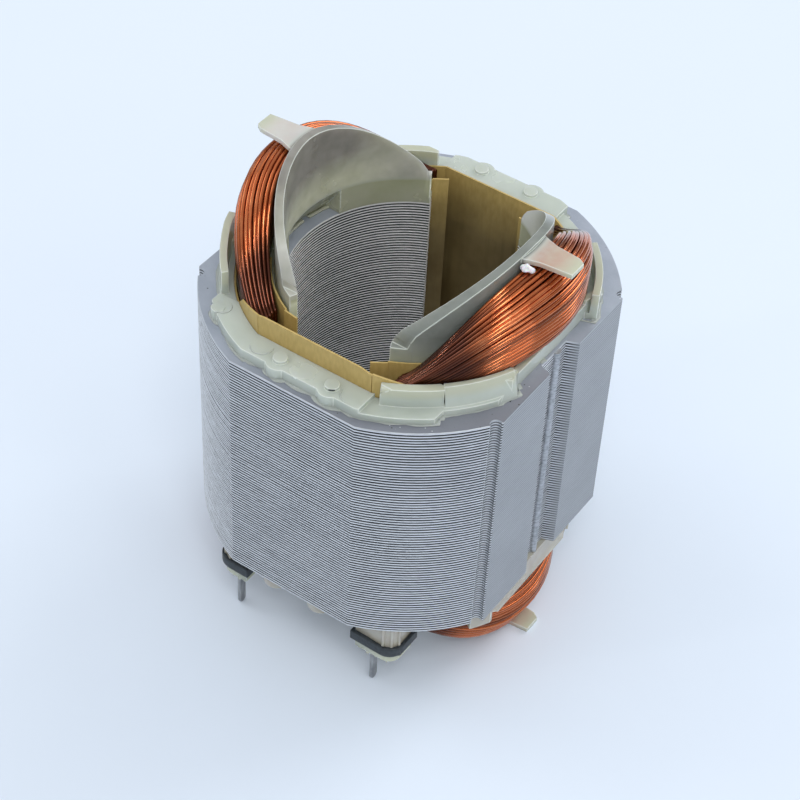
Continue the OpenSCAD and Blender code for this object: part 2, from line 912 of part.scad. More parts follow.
// Where outline point k lies on a coil end at share t: 0 in the middle, 1 in the slot at +Y.
function end_point(k, t, mids, sign, foot) =
    let (
        leg = leg_points[k],
        x = abs(t),
        angle = atan2(leg[1], leg[0]) * t,
        flow = pow(max(0, 1 - pow(x, coil_flow)), 1.5),
        free = mids[k][0] + (norm(leg) - mids[k][0]) * pow(x, 1.5),
        radius = min(free, coil_reach + turn_relief / 2 - (coil_reach - leg_out) * min(1, 1.2 * x)),
        z = base_thickness + 0.2 + (mids[k][1] - base_thickness - 0.2) * flow
    )
    [radius * cos(angle), radius * sin(angle), foot + sign * z];

// One closed coil round the pole at +X.
module coil() {
    count = len(leg_points);
    half = 10;
    upper_line = mid_line(upper_rise, base_pole_half, low_wall_height);
    lower_line = mid_line(lower_rise, lower_pole_half, lower_wall_height);
    upper = mid_points(upper_rise, base_pole_half, upper_line);
    lower = mid_points(lower_rise, lower_pole_half, lower_line);
    stations = concat(
        [for (j = [-half : half]) [for (k = [0 : count - 1])
            end_point(k, sin(90 * j / half), upper, 1, stack_top)]],
        [for (j = [-half : half]) [for (k = [0 : count - 1])
            end_point(k, -sin(90 * j / half), lower, -1, stack_low)]]
    );
    total = len(stations);
    color(colour_copper)
    polyhedron(
        points = [for (s = stations) each s],
        faces = [for (j = [0 : total - 1]) for (k = [0 : count - 1]) for (half_face = [0, 1])
            let (
                a = j * count + k,
                b = j * count + (k + 1) % count,
                c = ((j + 1) % total) * count + (k + 1) % count,
                d = ((j + 1) % total) * count + k
            )
            half_face == 0 ? [a, c, b] : [a, d, c]
        ]
    );
}

module coil_right() {
    coil();
}

module coil_left() {
    rotate([0, 0, 180])
        coil();
}

// A straight piece of round wire.
module wire(p, q) {
    d = q - p;
    translate(p)
    rotate([0, acos(d[2] / norm(d)), atan2(d[1], d[0])])
        cylinder(r = wire_diameter / 2, h = norm(d), $fn = 24);
}

// The end of a coil that runs to a blade: s is +1 at right, t is +1 at the back.
module lead(s, t) {
    z = stack_low - post_height - 0.5;
    start = on(leg_out - 1.6, 54.6);
    bend = on(leg_out - 0.6, 57.2);
    p = [s * start[0], t * start[1], z + 0.6];
    q = [s * bend[0], t * bend[1], z];
    color(colour_copper) {
        wire(p, q);
        translate(q)
            sphere(r = wire_diameter / 2 + 0.05, $fn = 24);
        wire(q, [blade_x(s, t), t * (blade_far - blade_width / 2 - wire_diameter / 2), z]);
    }
}

module lead_front_right() {
    lead(1, -1);
}

module lead_front_left() {
    lead(-1, -1);
}

module lead_back_right() {
    lead(1, 1);
}

module lead_back_left() {
    lead(-1, 1);
}

// A splash of hardened resin on the wires beside the right tab.
module resin_drop() {
    color(colour_resin)
    translate([r_near + 0.8, -tab_root_half - 0.7, stack_top + upper_rise - under_tab + 0.25])
    hull() {
        translate([0, 0, resin_size])
            sphere(r = resin_size, $fn = 20);
        translate([1.5 * resin_size, 0.5 * resin_size, 0.6 * resin_size])
            sphere(r = 0.6 * resin_size, $fn = 16);
        translate([-1.2 * resin_size, -0.5 * resin_size, 0.6 * resin_size])
            sphere(r = 0.6 * resin_size, $fn = 16);
    }
}

lamination_stack();
weld_seam_right();
weld_seam_left();
top_insulator();
bottom_insulator();
coil_right();
coil_left();
slot_liner_front_right();
slot_liner_front_left();
slot_liner_back_right();
slot_liner_back_left();
yoke_paper_front();
yoke_paper_back();
blade_front_right();
blade_front_left();
blade_back_right();
blade_back_left();
band_front_right();
band_front_left();
band_back_right();
band_back_left();
lead_front_right();
lead_front_left();
lead_back_right();
lead_back_left();
resin_drop();
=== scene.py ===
import math
import bmesh
import bpy
import numpy as np
from mathutils import Matrix, Vector
from mathutils.geometry import delaunay_2d_cdt


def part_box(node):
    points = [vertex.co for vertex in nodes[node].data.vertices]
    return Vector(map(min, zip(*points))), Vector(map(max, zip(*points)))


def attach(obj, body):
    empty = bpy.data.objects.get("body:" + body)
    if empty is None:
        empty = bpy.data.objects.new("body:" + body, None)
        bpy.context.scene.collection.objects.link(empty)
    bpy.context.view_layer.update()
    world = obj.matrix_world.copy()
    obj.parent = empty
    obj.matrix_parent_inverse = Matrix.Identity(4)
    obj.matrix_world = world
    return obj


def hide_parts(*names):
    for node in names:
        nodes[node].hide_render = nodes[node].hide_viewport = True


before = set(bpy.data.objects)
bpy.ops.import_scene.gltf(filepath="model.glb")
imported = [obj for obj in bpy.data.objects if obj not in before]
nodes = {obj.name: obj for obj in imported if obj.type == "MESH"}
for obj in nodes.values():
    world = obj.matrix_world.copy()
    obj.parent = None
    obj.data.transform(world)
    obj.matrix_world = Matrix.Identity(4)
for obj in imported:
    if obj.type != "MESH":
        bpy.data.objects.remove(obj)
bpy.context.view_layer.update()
print("frame loaded:", len(nodes), "nodes")

# Sizes that several pieces share, in millimetres, as in the CAD part.
core = dict(plates=82, pitch=0.5, low=15.9, top=56.9, radius=30.0, poleFlat=25.75, yokeFlat=28.125,
            bore=17.9, tip=19.6, poleArc=64.5, neck=10.2, slot=24.8, slotFlat=22.925,
            keyFloor=24.0, keyHalf=3.9, keySlant=0.8, biteRadius=0.85, biteAngle=33.0)


# Numbers

# A smooth random curve: a sum of sine waves, the k-th k times as fast as base and a k-th as high,
# whose heights and phases come from the seed.
def wander(t, seed, waves, base):
    rng = np.random.default_rng(seed)
    total = np.zeros_like(t, dtype=float)
    for k in range(1, waves + 1):
        total = total + rng.normal() * np.sin(2 * np.pi * (base * k * t + rng.random())) / k
    return total


# Smooth noise at points, about -1 to 1: random numbers on a lattice of the given cell size,
# blended with 3u^2 - 2u^3 along each axis. The primes scatter the cells over the random numbers.
def lattice(points, cell, seed):
    size = 4096
    primes = (73856093, 19349663, 83492791)
    table = np.random.default_rng(seed).uniform(-1, 1, size)
    spot = np.asarray(points, float) / cell
    corner = np.floor(spot).astype(np.int64)
    u = spot - corner
    u = u * u * (3 - 2 * u)
    total = np.zeros(len(spot))
    for step in np.ndindex(2, 2, 2):
        cellId = (corner + step) * primes
        pick = (cellId[:, 0] ^ cellId[:, 1] ^ cellId[:, 2]) & (size - 1)
        weight = np.prod(np.where(np.array(step) == 1, u, 1 - u), axis=1)
        total += table[pick] * weight
    return total


# Points on a circle about the origin, at even steps from angle a to angle b in degrees.
def arc(radius, a, b, count):
    angle = np.radians(np.linspace(a, b, count))
    return np.stack([radius * np.cos(angle), radius * np.sin(angle)], -1)


# Points at the given shares of a broken line's length.
def along(line, share):
    line = np.asarray(line, float)
    length = np.concatenate([[0], np.cumsum(np.linalg.norm(np.diff(line, axis=0), axis=1))])
    return np.stack([np.interp(share, length / length[-1], line[:, i]) for i in range(line.shape[1])], -1)


# Vectors divided by their own length.
def unit(v):
    return v / np.maximum(np.linalg.norm(v, axis=-1, keepdims=True), 1e-12)


# Outward normals of a closed plan loop that runs anticlockwise: the mean of the two sides' normals,
# lengthened by one over its share of a side's normal, so that an inset keeps the sides parallel.
def loopNormals(loop):
    step = unit(np.roll(loop, -1, 0) - loop)
    side = np.stack([step[:, 1], -step[:, 0]], -1)
    both = unit(side + np.roll(side, 1, 0))
    return both / np.maximum((both * side).sum(-1, keepdims=True), 0.5)


# Meshes

# Quads of a grid of rows x cols points, closed on itself along the rows, the columns or both.
def gridQuads(rows, cols, wrapRows=False, wrapCols=False):
    i = np.arange(rows if wrapRows else rows - 1)[:, None]
    j = np.arange(cols if wrapCols else cols - 1)[None, :]
    a = i * cols + j
    b = i * cols + (j + 1) % cols
    c = ((i + 1) % rows) * cols + (j + 1) % cols
    d = ((i + 1) % rows) * cols + j
    return np.stack([a, b, c, d], -1).reshape(-1, 4)


def newObject(name, data):
    made = bpy.data.objects.new(name, data)
    bpy.context.scene.collection.objects.link(made)
    return made


# A new piece from points in millimetres.
def meshPiece(name, points, faces, smooth=True):
    mesh = bpy.data.meshes.new(name)
    mesh.from_pydata((np.asarray(points, float) * 0.001).tolist(), [], [list(f) for f in faces])
    mesh.update()
    mesh.polygons.foreach_set("use_smooth", [smooth] * len(mesh.polygons))
    piece = newObject(name, mesh)
    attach(piece, "root")
    return piece


# Gives each point a number that a finish can read.
def paintValue(piece, name, values):
    layer = piece.data.attributes.new(name, "FLOAT", "POINT")
    layer.data.foreach_set("value", np.asarray(values, np.float32))


# Puts the given materials on a piece in place of its own.
def dress(piece, *materials):
    piece.data.materials.clear()
    for material in materials:
        piece.data.materials.append(material)


# Gives the second material to the given face and all that follow it.
def paintFrom(piece, first):
    index = np.zeros(len(piece.data.polygons), np.int32)
    index[first:] = 1
    piece.data.polygons.foreach_set("material_index", index)


# Round tubes along closed paths, an array of paths x stations x 3: each ring is the path's point
# plus radius times the cosine and sine of an even turn along the normal and the binormal.
def tubes(paths, radius, sides, outward):
    count, stations, _ = paths.shape
    tangent = unit(np.roll(paths, -1, 1) - np.roll(paths, 1, 1))
    normal = unit(outward - (outward * tangent).sum(-1, keepdims=True) * tangent)
    binormal = np.cross(tangent, normal)
    turn = 2 * np.pi * np.arange(sides) / sides
    ring = (normal[:, :, None] * np.cos(turn)[:, None] + binormal[:, :, None] * np.sin(turn)[:, None])
    points = (paths[:, :, None] + radius * ring).reshape(-1, 3)
    faces = gridQuads(stations, sides, True, True)
    faces = (faces[None] + (np.arange(count) * stations * sides)[:, None, None]).reshape(-1, 4)
    return points, faces


# How copies of CAD nodes are merged and rounded. Doubles merge within "merge" metres and faces
# within "flat" degrees. Edges over "angle" degrees are rounded, unless they lie within "level" mm
# of the contact plane or another edge of the face runs back closer than "crossing" widths.
rounding = dict(merge=2e-6, flat=0.5, angle=28, level=0.02, crossing=2.3, back=-0.2, probes=5, segments=2,
                noPlane=-9.0)


def change(mesh, step):
    work = bmesh.new()
    work.from_mesh(mesh)
    step(work)
    work.to_mesh(mesh)
    work.free()


def mergeFlat(work):
    flat = math.radians(rounding["flat"])
    bmesh.ops.remove_doubles(work, verts=work.verts, dist=rounding["merge"])
    bmesh.ops.dissolve_limit(work, angle_limit=flat, verts=work.verts, edges=work.edges)


# A copy of a CAD node with its doubles and flat faces merged.
def mergedCopy(node, name):
    copy = nodes[node].copy()
    copy.data = nodes[node].data.copy()
    copy.name = name
    for key in list(copy.keys()):
        del copy[key]
    bpy.context.scene.collection.objects.link(copy)
    change(copy.data, mergeFlat)
    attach(copy, "root")
    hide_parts(node)
    return copy


def isSharp(edge):
    return len(edge.link_faces) == 2 and edge.calc_face_angle(0) > math.radians(rounding["angle"])


# Gives the edges to be rounded bevel weight 1. An edge's gap to the others of its face is the least
# distance from even probes on it, and two edges run back where their directions' product is below
# "back" and they don't touch. Sharp edges that stay unrounded are shaded as sharp.
def weighEdges(work, width, plane):
    r = rounding
    layer = work.edges.layers.float.new("bevel_weight_edge")
    for edge in work.edges:
        hidden = max(abs(v.co.z * 1000 - plane) for v in edge.verts) < r["level"]
        edge[layer] = float(isSharp(edge) and not hidden)
    for face in work.faces:
        loops = list(face.loops)
        spots = np.array([loop.vert.co for loop in loops]) * 1000
        step = np.roll(spots, -1, 0) - spots
        length = np.maximum((step ** 2).sum(1), 1e-9)
        probes = spots[:, None] + step[:, None] * np.linspace(0, 1, r["probes"])[None, :, None]
        share = ((probes[:, :, None] - spots) * step).sum(-1) / length
        near = spots + np.clip(share, 0, 1)[..., None] * step
        gap = np.linalg.norm(probes[:, :, None] - near, axis=-1).min(1)
        way = step / np.sqrt(length)[:, None]
        hop = (np.arange(len(loops))[:, None] - np.arange(len(loops))) % len(loops)
        facing = (way @ way.T < r["back"]) & (hop > 1) & (hop < len(loops) - 1)
        for k in np.flatnonzero((facing & (gap < r["crossing"] * width)).any(1)):
            loops[k].edge[layer] = 0.0
    for edge in work.edges:
        edge.smooth = not isSharp(edge) or edge[layer] > 0


# A copy of a CAD node with small rounded edges, which take the last of its materials.
def rounded(node, name, width, *materials, plane=rounding["noPlane"]):
    copy = mergedCopy(node, name)
    change(copy.data, lambda work: weighEdges(work, width, plane))
    copy.data.polygons.foreach_set("use_smooth", [True] * len(copy.data.polygons))
    dress(copy, *materials)
    bevel = copy.modifiers.new("edges", "BEVEL")
    bevel.width = width * 0.001
    bevel.segments = rounding["segments"]
    bevel.limit_method = "WEIGHT"
    bevel.use_clamp_overlap = False
    bevel.material = len(materials) - 1
    copy.modifiers.new("facing", "WEIGHTED_NORMAL").keep_sharp = True
    return copy


# A mesh's points in millimetres.
def coordinates(mesh):
    flat = np.empty(len(mesh.vertices) * 3, np.float32)
    mesh.vertices.foreach_get("co", flat)
    return flat.reshape(-1, 3).astype(float) * 1000


# Moves a mesh's points to the given ones in millimetres.
def moveTo(mesh, points):
    mesh.vertices.foreach_set("co", (points * 0.001).astype(np.float32).ravel())
    mesh.update()


# Turns every shell's faces outwards.
def fixFacing(piece):
    change(piece.data, lambda work: bmesh.ops.recalc_face_normals(work, faces=work.faces))


# A closed piece in one finish, with its faces turned outwards.
def closedPiece(name, points, faces, finish):
    piece = meshPiece(name, points, faces)
    fixFacing(piece)
    dress(piece, finishes[finish])
    return piece


# How far a value is inside a band, 0 before and 1 past it: 3u^2 - 2u^3 between.
def ramp(value, low, high):
    u = np.clip((value - low) / (high - low), 0, 1)
    return u * u * (3 - 2 * u)


# Each vertex minus the mean of its neighbours.
def bulge(points, edges):
    total = np.zeros_like(points)
    count = np.bincount(edges.ravel(), minlength=len(points))[:, None]
    for axis in range(3):
        total[:, axis] = (np.bincount(edges[:, 0], points[edges[:, 1], axis], len(points))
                          + np.bincount(edges[:, 1], points[edges[:, 0], axis], len(points)))
    return points - total / np.maximum(count, 1)


# The drop of resin: size of its faces, rounds of smoothing and lumps on it, in millimetres.
splash = dict(cell=0.1, rounds=3, take=0.5, give=0.52, last=0.4, lump=0.5, rise=0.22, seed=21)


# A copy of a CAD node skinned with small even faces and smoothed: each round takes a share of the
# bulge away and gives a share of the new bulge back. Lattice noise then pushes it in and out.
def moulded(node, name):
    s = splash
    copy = mergedCopy(node, name)
    skin = copy.modifiers.new("skin", "REMESH")
    skin.mode = "VOXEL"
    skin.voxel_size = s["cell"] * 0.001
    skin.use_smooth_shade = True
    made = bpy.data.meshes.new_from_object(copy.evaluated_get(bpy.context.evaluated_depsgraph_get()))
    copy.modifiers.clear()
    copy.data = made
    points = coordinates(made)
    flat = np.empty(len(made.edges) * 2, np.int32)
    made.edges.foreach_get("vertices", flat)
    edges = flat.reshape(-1, 2)
    for _ in range(s["rounds"]):
        points = points - s["take"] * bulge(points, edges)
        points = points + s["give"] * bulge(points, edges)
    points = points - s["last"] * bulge(points, edges)
    moveTo(made, points)
    facing = np.empty(len(points) * 3, np.float32)
    made.vertex_normals.foreach_get("vector", facing)
    lumps = lattice(points, s["lump"], s["seed"]) * s["rise"]
    moveTo(made, points + facing.reshape(-1, 3) * lumps[:, None])
    return copy


# Shader maths

# One value in a material. The usual signs add Math nodes to it.
class Value:
    def __init__(self, finish, socket):
        self.finish = finish
        self.socket = socket

    def math(self, operation, *others):
        return self.finish.node("ShaderNodeMath", {"operation": operation}, [self, *others])

    def __add__(self, other):
        return self.math("ADD", other)

    def __mul__(self, other):
        return self.math("MULTIPLY", other)

    def __sub__(self, other):
        return self.math("SUBTRACT", other)

    def __rsub__(self, other):
        return self.finish.node("ShaderNodeMath", {"operation": "SUBTRACT"}, [other, self])

    def __pow__(self, other):
        return self.math("POWER", other)

    def __gt__(self, other):
        return self.math("GREATER_THAN", other)

    def within(self, low, high):
        ends = {"Value": self, "From Min": low, "From Max": high}
        return self.finish.node("ShaderNodeMapRange", {"clamp": True}, ends)

    __radd__ = __add__
    __rmul__ = __mul__


# The nodes of a material, or of the owner that is given, before its shader.
class Finish:
    def __init__(self, name, owner=None, shader="Principled BSDF", **constants):
        self.owner = owner or bpy.data.materials.new(name)
        self.owner.use_nodes = True
        self.tree = self.owner.node_tree
        self.shader = self.tree.nodes[shader]
        for label, value in constants.items():
            self.shader.inputs[label.replace("_", " ")].default_value = value

    def node(self, kind, settings=None, values=None, output=0):
        made = self.tree.nodes.new(kind)
        for label, value in (settings or {}).items():
            setattr(made, label, value)
        pairs = values.items() if isinstance(values, dict) else enumerate(values or [])
        for label, value in pairs:
            if isinstance(value, Value):
                self.tree.links.new(value.socket, made.inputs[label])
            elif isinstance(value, tuple) and len(value) == 3 and made.inputs[label].type == "RGBA":
                made.inputs[label].default_value = (*value, 1)
            else:
                made.inputs[label].default_value = value
        return Value(self, made.outputs[output])

    def place(self):
        return self.node("ShaderNodeTexCoord", output=3)

    # the point's place along axis 0, 1 or 2 in millimetres
    def axis(self, which):
        return self.node("ShaderNodeSeparateXYZ", {}, [self.place()], which) * 1000

    def attribute(self, name):
        return self.node("ShaderNodeAttribute", {"attribute_name": name}, output=2)

    # noise in cells of the given size in millimetres, stretched along the axes
    def noise(self, size, detail, stretch=(1, 1, 1)):
        scale = tuple(1000 / size / s for s in stretch)
        spot = self.node("ShaderNodeVectorMath", {"operation": "MULTIPLY"}, [self.place(), scale])
        look = {"Vector": spot, "Scale": 1.0, "Detail": detail, "Roughness": 0.5}
        return self.node("ShaderNodeTexNoise", {}, look)

    # round dots in cells of the given size: 1 nearer their middle than low, 0 further than high
    def specks(self, size, low, high, seed=0.0):
        scale = (1000 / size,) * 3
        place = [self.place(), scale, (seed,) * 3]
        spot = self.node("ShaderNodeVectorMath", {"operation": "MULTIPLY_ADD"}, place)
        dots = self.node("ShaderNodeTexVoronoi", {"feature": "F1"}, {"Vector": spot, "Scale": 1.0})
        return 1 - dots.within(low, high)

    def mix(self, factor, first, second):
        return self.node("ShaderNodeMix", {"data_type": "RGBA"}, {0: factor, 6: first, 7: second}, 2)

    # a bump whose height of 1 stands for the distance in millimetres
    def bump(self, height, distance):
        look = {"Height": height, "Distance": distance * 0.001, "Strength": 1.0}
        return self.node("ShaderNodeBump", {}, look)

    def feed(self, **links):
        for label, value in links.items():
            self.tree.links.new(value.socket, self.shader.inputs[label.replace("_", " ")])
        return self.owner


# Finishes

# Colours of the steel: dark, bright and how metallic for the cut edges. A pair is mixed by noise.
steel = dict(plateEdges=((0.008, 0.009, 0.011), (0.67, 0.705, 0.755), 0.45),
             # the bore's edges: a lit copy of the plate edges, whiter as painted light in the shaded bore
             boreEdgesLit=((0.006, 0.007, 0.009), (1.0, 1.0, 1.0), 0.25),
             face=((0.36, 0.395, 0.465), (0.46, 0.495, 0.57)), nearSide=(0.20, 0.205, 0.235),
             chip=(0.72, 0.75, 0.80), pit=(0.07, 0.07, 0.075))


# Cut plate edges: "tone" is 1 on the worn crown of a plate and 0 in the joint below it.
def plateEdgeFinish(name):
    dark, bright, metal = steel[name]
    f = Finish(name, Metallic=metal)
    tone = f.attribute("tone")
    grain = f.noise(1.3, 4, (1, 1, 0.1))
    patch = f.noise(9, 3)
    shine = tone * (grain * 0.5 + 0.74) + (patch - 0.5) * 0.14
    rough = grain.within(0.3, 0.8) * 0.2 + 0.36
    return f.feed(Base_Color=f.mix(shine.within(0, 1), dark, bright), Roughness=rough)


# The flat of the top plate: cloudy, darker towards its front right corner, with bright chips and
# dark pits where a second noise is high.
def plateFaceFinish():
    f = Finish("plateFace", Metallic=0.4)
    cloud = f.noise(5, 4)
    fine = f.noise(0.35, 2)
    chips = f.specks(0.8, 0.07, 0.13) * (f.noise(3.0, 2) > 0.60)
    pits = f.specks(1.2, 0.05, 0.12, 7.0) * (f.noise(4.0, 2) > 0.50)
    x, y = f.axis(0), f.axis(1)
    colour = f.mix(cloud.within(0.3, 0.75), *steel["face"])
    colour = f.mix((x * 0.6 - y * 0.8).within(13, 25) * 0.75, colour, steel["nearSide"])
    colour = f.mix(chips, colour, steel["chip"])
    colour = f.mix(pits, colour, steel["pit"])
    return f.feed(Base_Color=colour, Roughness=fine * 0.2 + 0.42, Normal=f.bump(fine, 0.02))


# Finishes of one noise: its cells, detail and stretch, a pair of colours, what it adds to the least
# roughness, the bump's depth, and what is the same all over.
grained = dict(weldBead=((0.7, 3, (1, 1, 0.5)), ((0.28, 0.30, 0.32), (0.54, 0.56, 0.60)), (0.25, 0.32), 0.05,
                         dict(Metallic=0.75)),
               # the coil's bed: dark colours as painted shade between the wires
               copperBedShade=((0.6, 3, (1, 1, 2)), ((0.05, 0.013, 0.006), (0.16, 0.042, 0.017)), (0.2, 0.4), 0.1,
                          dict(Metallic=0.5)),
               blackBand=((0.6, 3), ((0.014, 0.019, 0.024), (0.034, 0.044, 0.052)), (0.3, 0.35), 0.08, {}),
               whiteResin=((0.5, 3), ((0.72, 0.72, 0.74), (0.93, 0.93, 0.95)), (0.2, 0.1), 0.1,
                           dict(Subsurface_Weight=0.3, Subsurface_Scale=0.001)))


def grainFinish(name):
    noise, colours, (more, least), depth, constants = grained[name]
    f = Finish(name, **constants)
    grain = f.noise(*noise)
    colour = f.mix(grain.within(0.3, 0.7), *colours)
    return f.feed(Base_Color=colour, Roughness=grain * more + least, Normal=f.bump(grain, depth))


# Colours of the nylon: grey painted shade deep in the left horn, olive and pale on its middle and
# wings, painted shade and lit in the right horn, tab and rosy over the wires.
nylon = dict(body=((0.545, 0.600, 0.530), (0.645, 0.700, 0.630)), wall=(0.62, 0.615, 0.43),
             foot=((0.46, 0.475, 0.315), (0.55, 0.56, 0.415)),
             greyShade=((0.29, 0.275, 0.245), (0.38, 0.365, 0.33)),
             olive=((0.66, 0.67, 0.50), (0.80, 0.81, 0.63)),
             pale=((0.52, 0.52, 0.46), (0.64, 0.63, 0.57)),
             shade=((0.25, 0.27, 0.245), (0.32, 0.34, 0.31)), lit=(0.84, 0.86, 0.81), tab=(0.76, 0.78, 0.77),
             # the edge colour and its flecks are a painted highlight and painted glints on the rounded edges
             rosy=(0.60, 0.36, 0.28), collar=(0.46, 0.375, 0.315), edge=(0.86, 0.91, 0.83),
             edgeGlint=(0.99, 1.0, 0.99), speck=(0.98, 1.0, 0.98))


# Milky nylon that lets some light through: grey painted shade where the horns are deep, painted
# shade and light across the right horn, olive at their feet, rosy where wires lie under a tab, with
# bright specks, and a painted highlight with painted glints on the rounded edges. "Level" is the end
# of the stack that it lies on and up is 1 or -1. Zones are bands of the radius and of the height
# above that level.
def nylonFinish(name, level, up, edge=False):
    f = Finish(name, IOR=1.53, Transmission_Weight=0.2, Subsurface_Weight=0.45, Subsurface_Scale=0.002,
               Subsurface_Radius=(1.0, 1.0, 0.8))
    c = nylon
    cloud = f.noise(7, 3)
    soft = f.noise(2.6, 2)
    blur = soft.within(0.3, 0.7)
    x, y, z = f.axis(0), f.axis(1), f.axis(2)
    radius = (x * x + y * y) ** 0.5
    height = (z - level) * up
    inner = 1 - radius.within(18.9, 19.15)
    line = (height - (cloud - 0.5) * 0.8).within(4.1, 4.9)
    horn = (1 - radius.within(19.35, 19.8)) * (inner * line + (1 - inner) * height.within(1.5, 7))
    foot = inner * (1 - line) + (1 - inner) * (1 - height.within(1, 5.5)) * (1 - radius.within(20.5, 24))
    right = x > 0
    wing = (y * y).within(60, 210)
    deep = height.within(6.5, 11) * (1 - wing)
    under = radius.within(19.4, 20.4) * (1 - radius.within(23.6, 25.6)) * height.within(14.6, 15)
    rosy = under * (f.noise(2.2, 3).within(0.25, 0.7) * 0.5 + 0.3) * (right * 0.65 + 0.35)
    wall = height.within(2.2, 3.2) * radius.within(20.5, 22)
    colour = f.mix(cloud.within(0.3, 0.7), *c["body"])
    colour = f.mix(wall * 0.6, colour, c["wall"])
    colour = f.mix(foot, colour, f.mix(cloud.within(0.35, 0.65), *c["foot"]))
    middle = f.mix(wing, f.mix(blur, *c["olive"]), f.mix(blur, *c["pale"]))
    # grey painted shade deep in the left horn
    leftHorn = f.mix(deep, middle, f.mix(blur, *c["greyShade"]))
    rightHorn = f.mix(y.within(8, 14), f.mix(blur, *c["shade"]), c["lit"])
    colour = f.mix(horn, colour, f.mix(right, leftHorn, rightHorn))
    colour = f.mix(under * (0.75 - right * 0.6), colour, c["tab"])
    colour = f.mix(rosy, colour, c["rosy"])
    if up < 0:
        collar = (1 - height.within(4, 6)) * radius.within(23, 24.5)
        colour = f.mix(collar * (soft * 0.6 + 0.3), colour, c["collar"])
    # the rounded edges are lighter as a painted highlight, with specks of painted glints
    if edge:
        colour = f.mix(0.6, colour, c["edge"])
        colour = f.mix(f.specks(0.6, 0.09, 0.15) * (f.noise(3.5, 3) > 0.60), colour, c["edgeGlint"])
    specks = f.specks(0.9, 0.030, 0.05) * (f.noise(5.0, 3) > 0.62)
    colour = f.mix(specks, colour, c["speck"])
    return f.feed(Base_Color=colour, Roughness=cloud * 0.22 + 0.12, Normal=f.bump(soft, 0.06))


# Colours of the wires, papers and blades. A pair is mixed by noise. The wires' dark colour is
# painted shade and their glow colour is a painted highlight.
goods = dict(wireShade=(0.040, 0.008, 0.004), wireAmber=(0.60, 0.155, 0.047), wireHighlight=(0.88, 0.42, 0.20),
             paperDeep=((0.150, 0.105, 0.040), (0.235, 0.175, 0.074)), paperStreak=(0.12, 0.082, 0.03),
             paperRim=((0.47, 0.335, 0.110), (0.56, 0.41, 0.150)),
             blade=((0.22, 0.23, 0.245), (0.42, 0.43, 0.445)), bladeNeck=(0.30, 0.21, 0.10))


# Enamelled wire: "tone" is painted light and shade, 1 on the lit crown of a coil end and 0 in
# painted shade where it dives towards the slots; noise patches of painted highlight lie on the lit crown.
def copperFinish():
    f = Finish("enamelledCopper", Metallic=0.88, Coat_Weight=0.25, Coat_Roughness=0.06, Coat_IOR=1.5)
    tone = f.attribute("tone")
    drift = f.noise(2.5, 3)
    colour = f.mix(tone, goods["wireShade"], goods["wireAmber"])
    colour = f.mix(drift.within(0.5, 0.85) * tone * 0.35, colour, goods["wireHighlight"])
    return f.feed(Base_Color=colour, Roughness=drift * 0.08 + 0.09)


# Varnished slot paper: tan and lit near its upper edge, olive brown deeper in the slot.
def paperFinish():
    f = Finish("slotPaper", Specular_IOR_Level=0.4)
    height = f.axis(2)
    fibre = f.noise(0.5, 4, (1, 1, 3))
    cloud = f.noise(6, 3)
    streak = f.noise(2.2, 3, (0.5, 0.5, 8))
    rim = (height + (cloud - 0.5) * 5).within(core["top"] - 7, core["top"] + 1)
    colour = f.mix(cloud.within(0.3, 0.7), *goods["paperDeep"])
    colour = f.mix(streak.within(0.45, 0.75) * 0.5, colour, goods["paperStreak"])
    colour = f.mix(rim, colour, f.mix(fibre.within(0.3, 0.7), *goods["paperRim"]))
    return f.feed(Base_Color=colour, Roughness=fibre * 0.2 + 0.34, Normal=f.bump(fibre, 0.03))


# Tinned brass blade, yellow brown at its neck by the wire.
def bladeFinish():
    f = Finish("tinnedBlade", Metallic=0.7)
    grain = f.noise(0.9, 4, (1, 1, 2))
    colour = f.mix(grain.within(0.3, 0.7), *goods["blade"])
    colour = f.mix((f.axis(2) + grain * 2).within(6.6, 8.6), colour, goods["bladeNeck"])
    return f.feed(Base_Color=colour, Roughness=grain * 0.3 + 0.3, Normal=f.bump(grain, 0.04))


# The plate stack

# A quarter of a plan, mirrored across both axes into a closed anticlockwise loop.
def allRound(quarter):
    turned = (quarter * [-1, 1])[::-1], quarter * [-1, -1], (quarter * [1, -1])[::-1]
    return np.concatenate([quarter, *turned])


# Wear of the plates and a painted highlight: how far the side grooves count as ground, how much of
# the joints grinding takes away, the plates' random shift, gloss and ripple, and the tones of ground
# and top edges, where the lighter top edge is a painted highlight.
wearAndHighlight = dict(groove=0.55, smoothed=0.9, shift=0.010, gloss=0.04, ripple=0.006, ground=0.50, topEdgeHighlight=0.85)


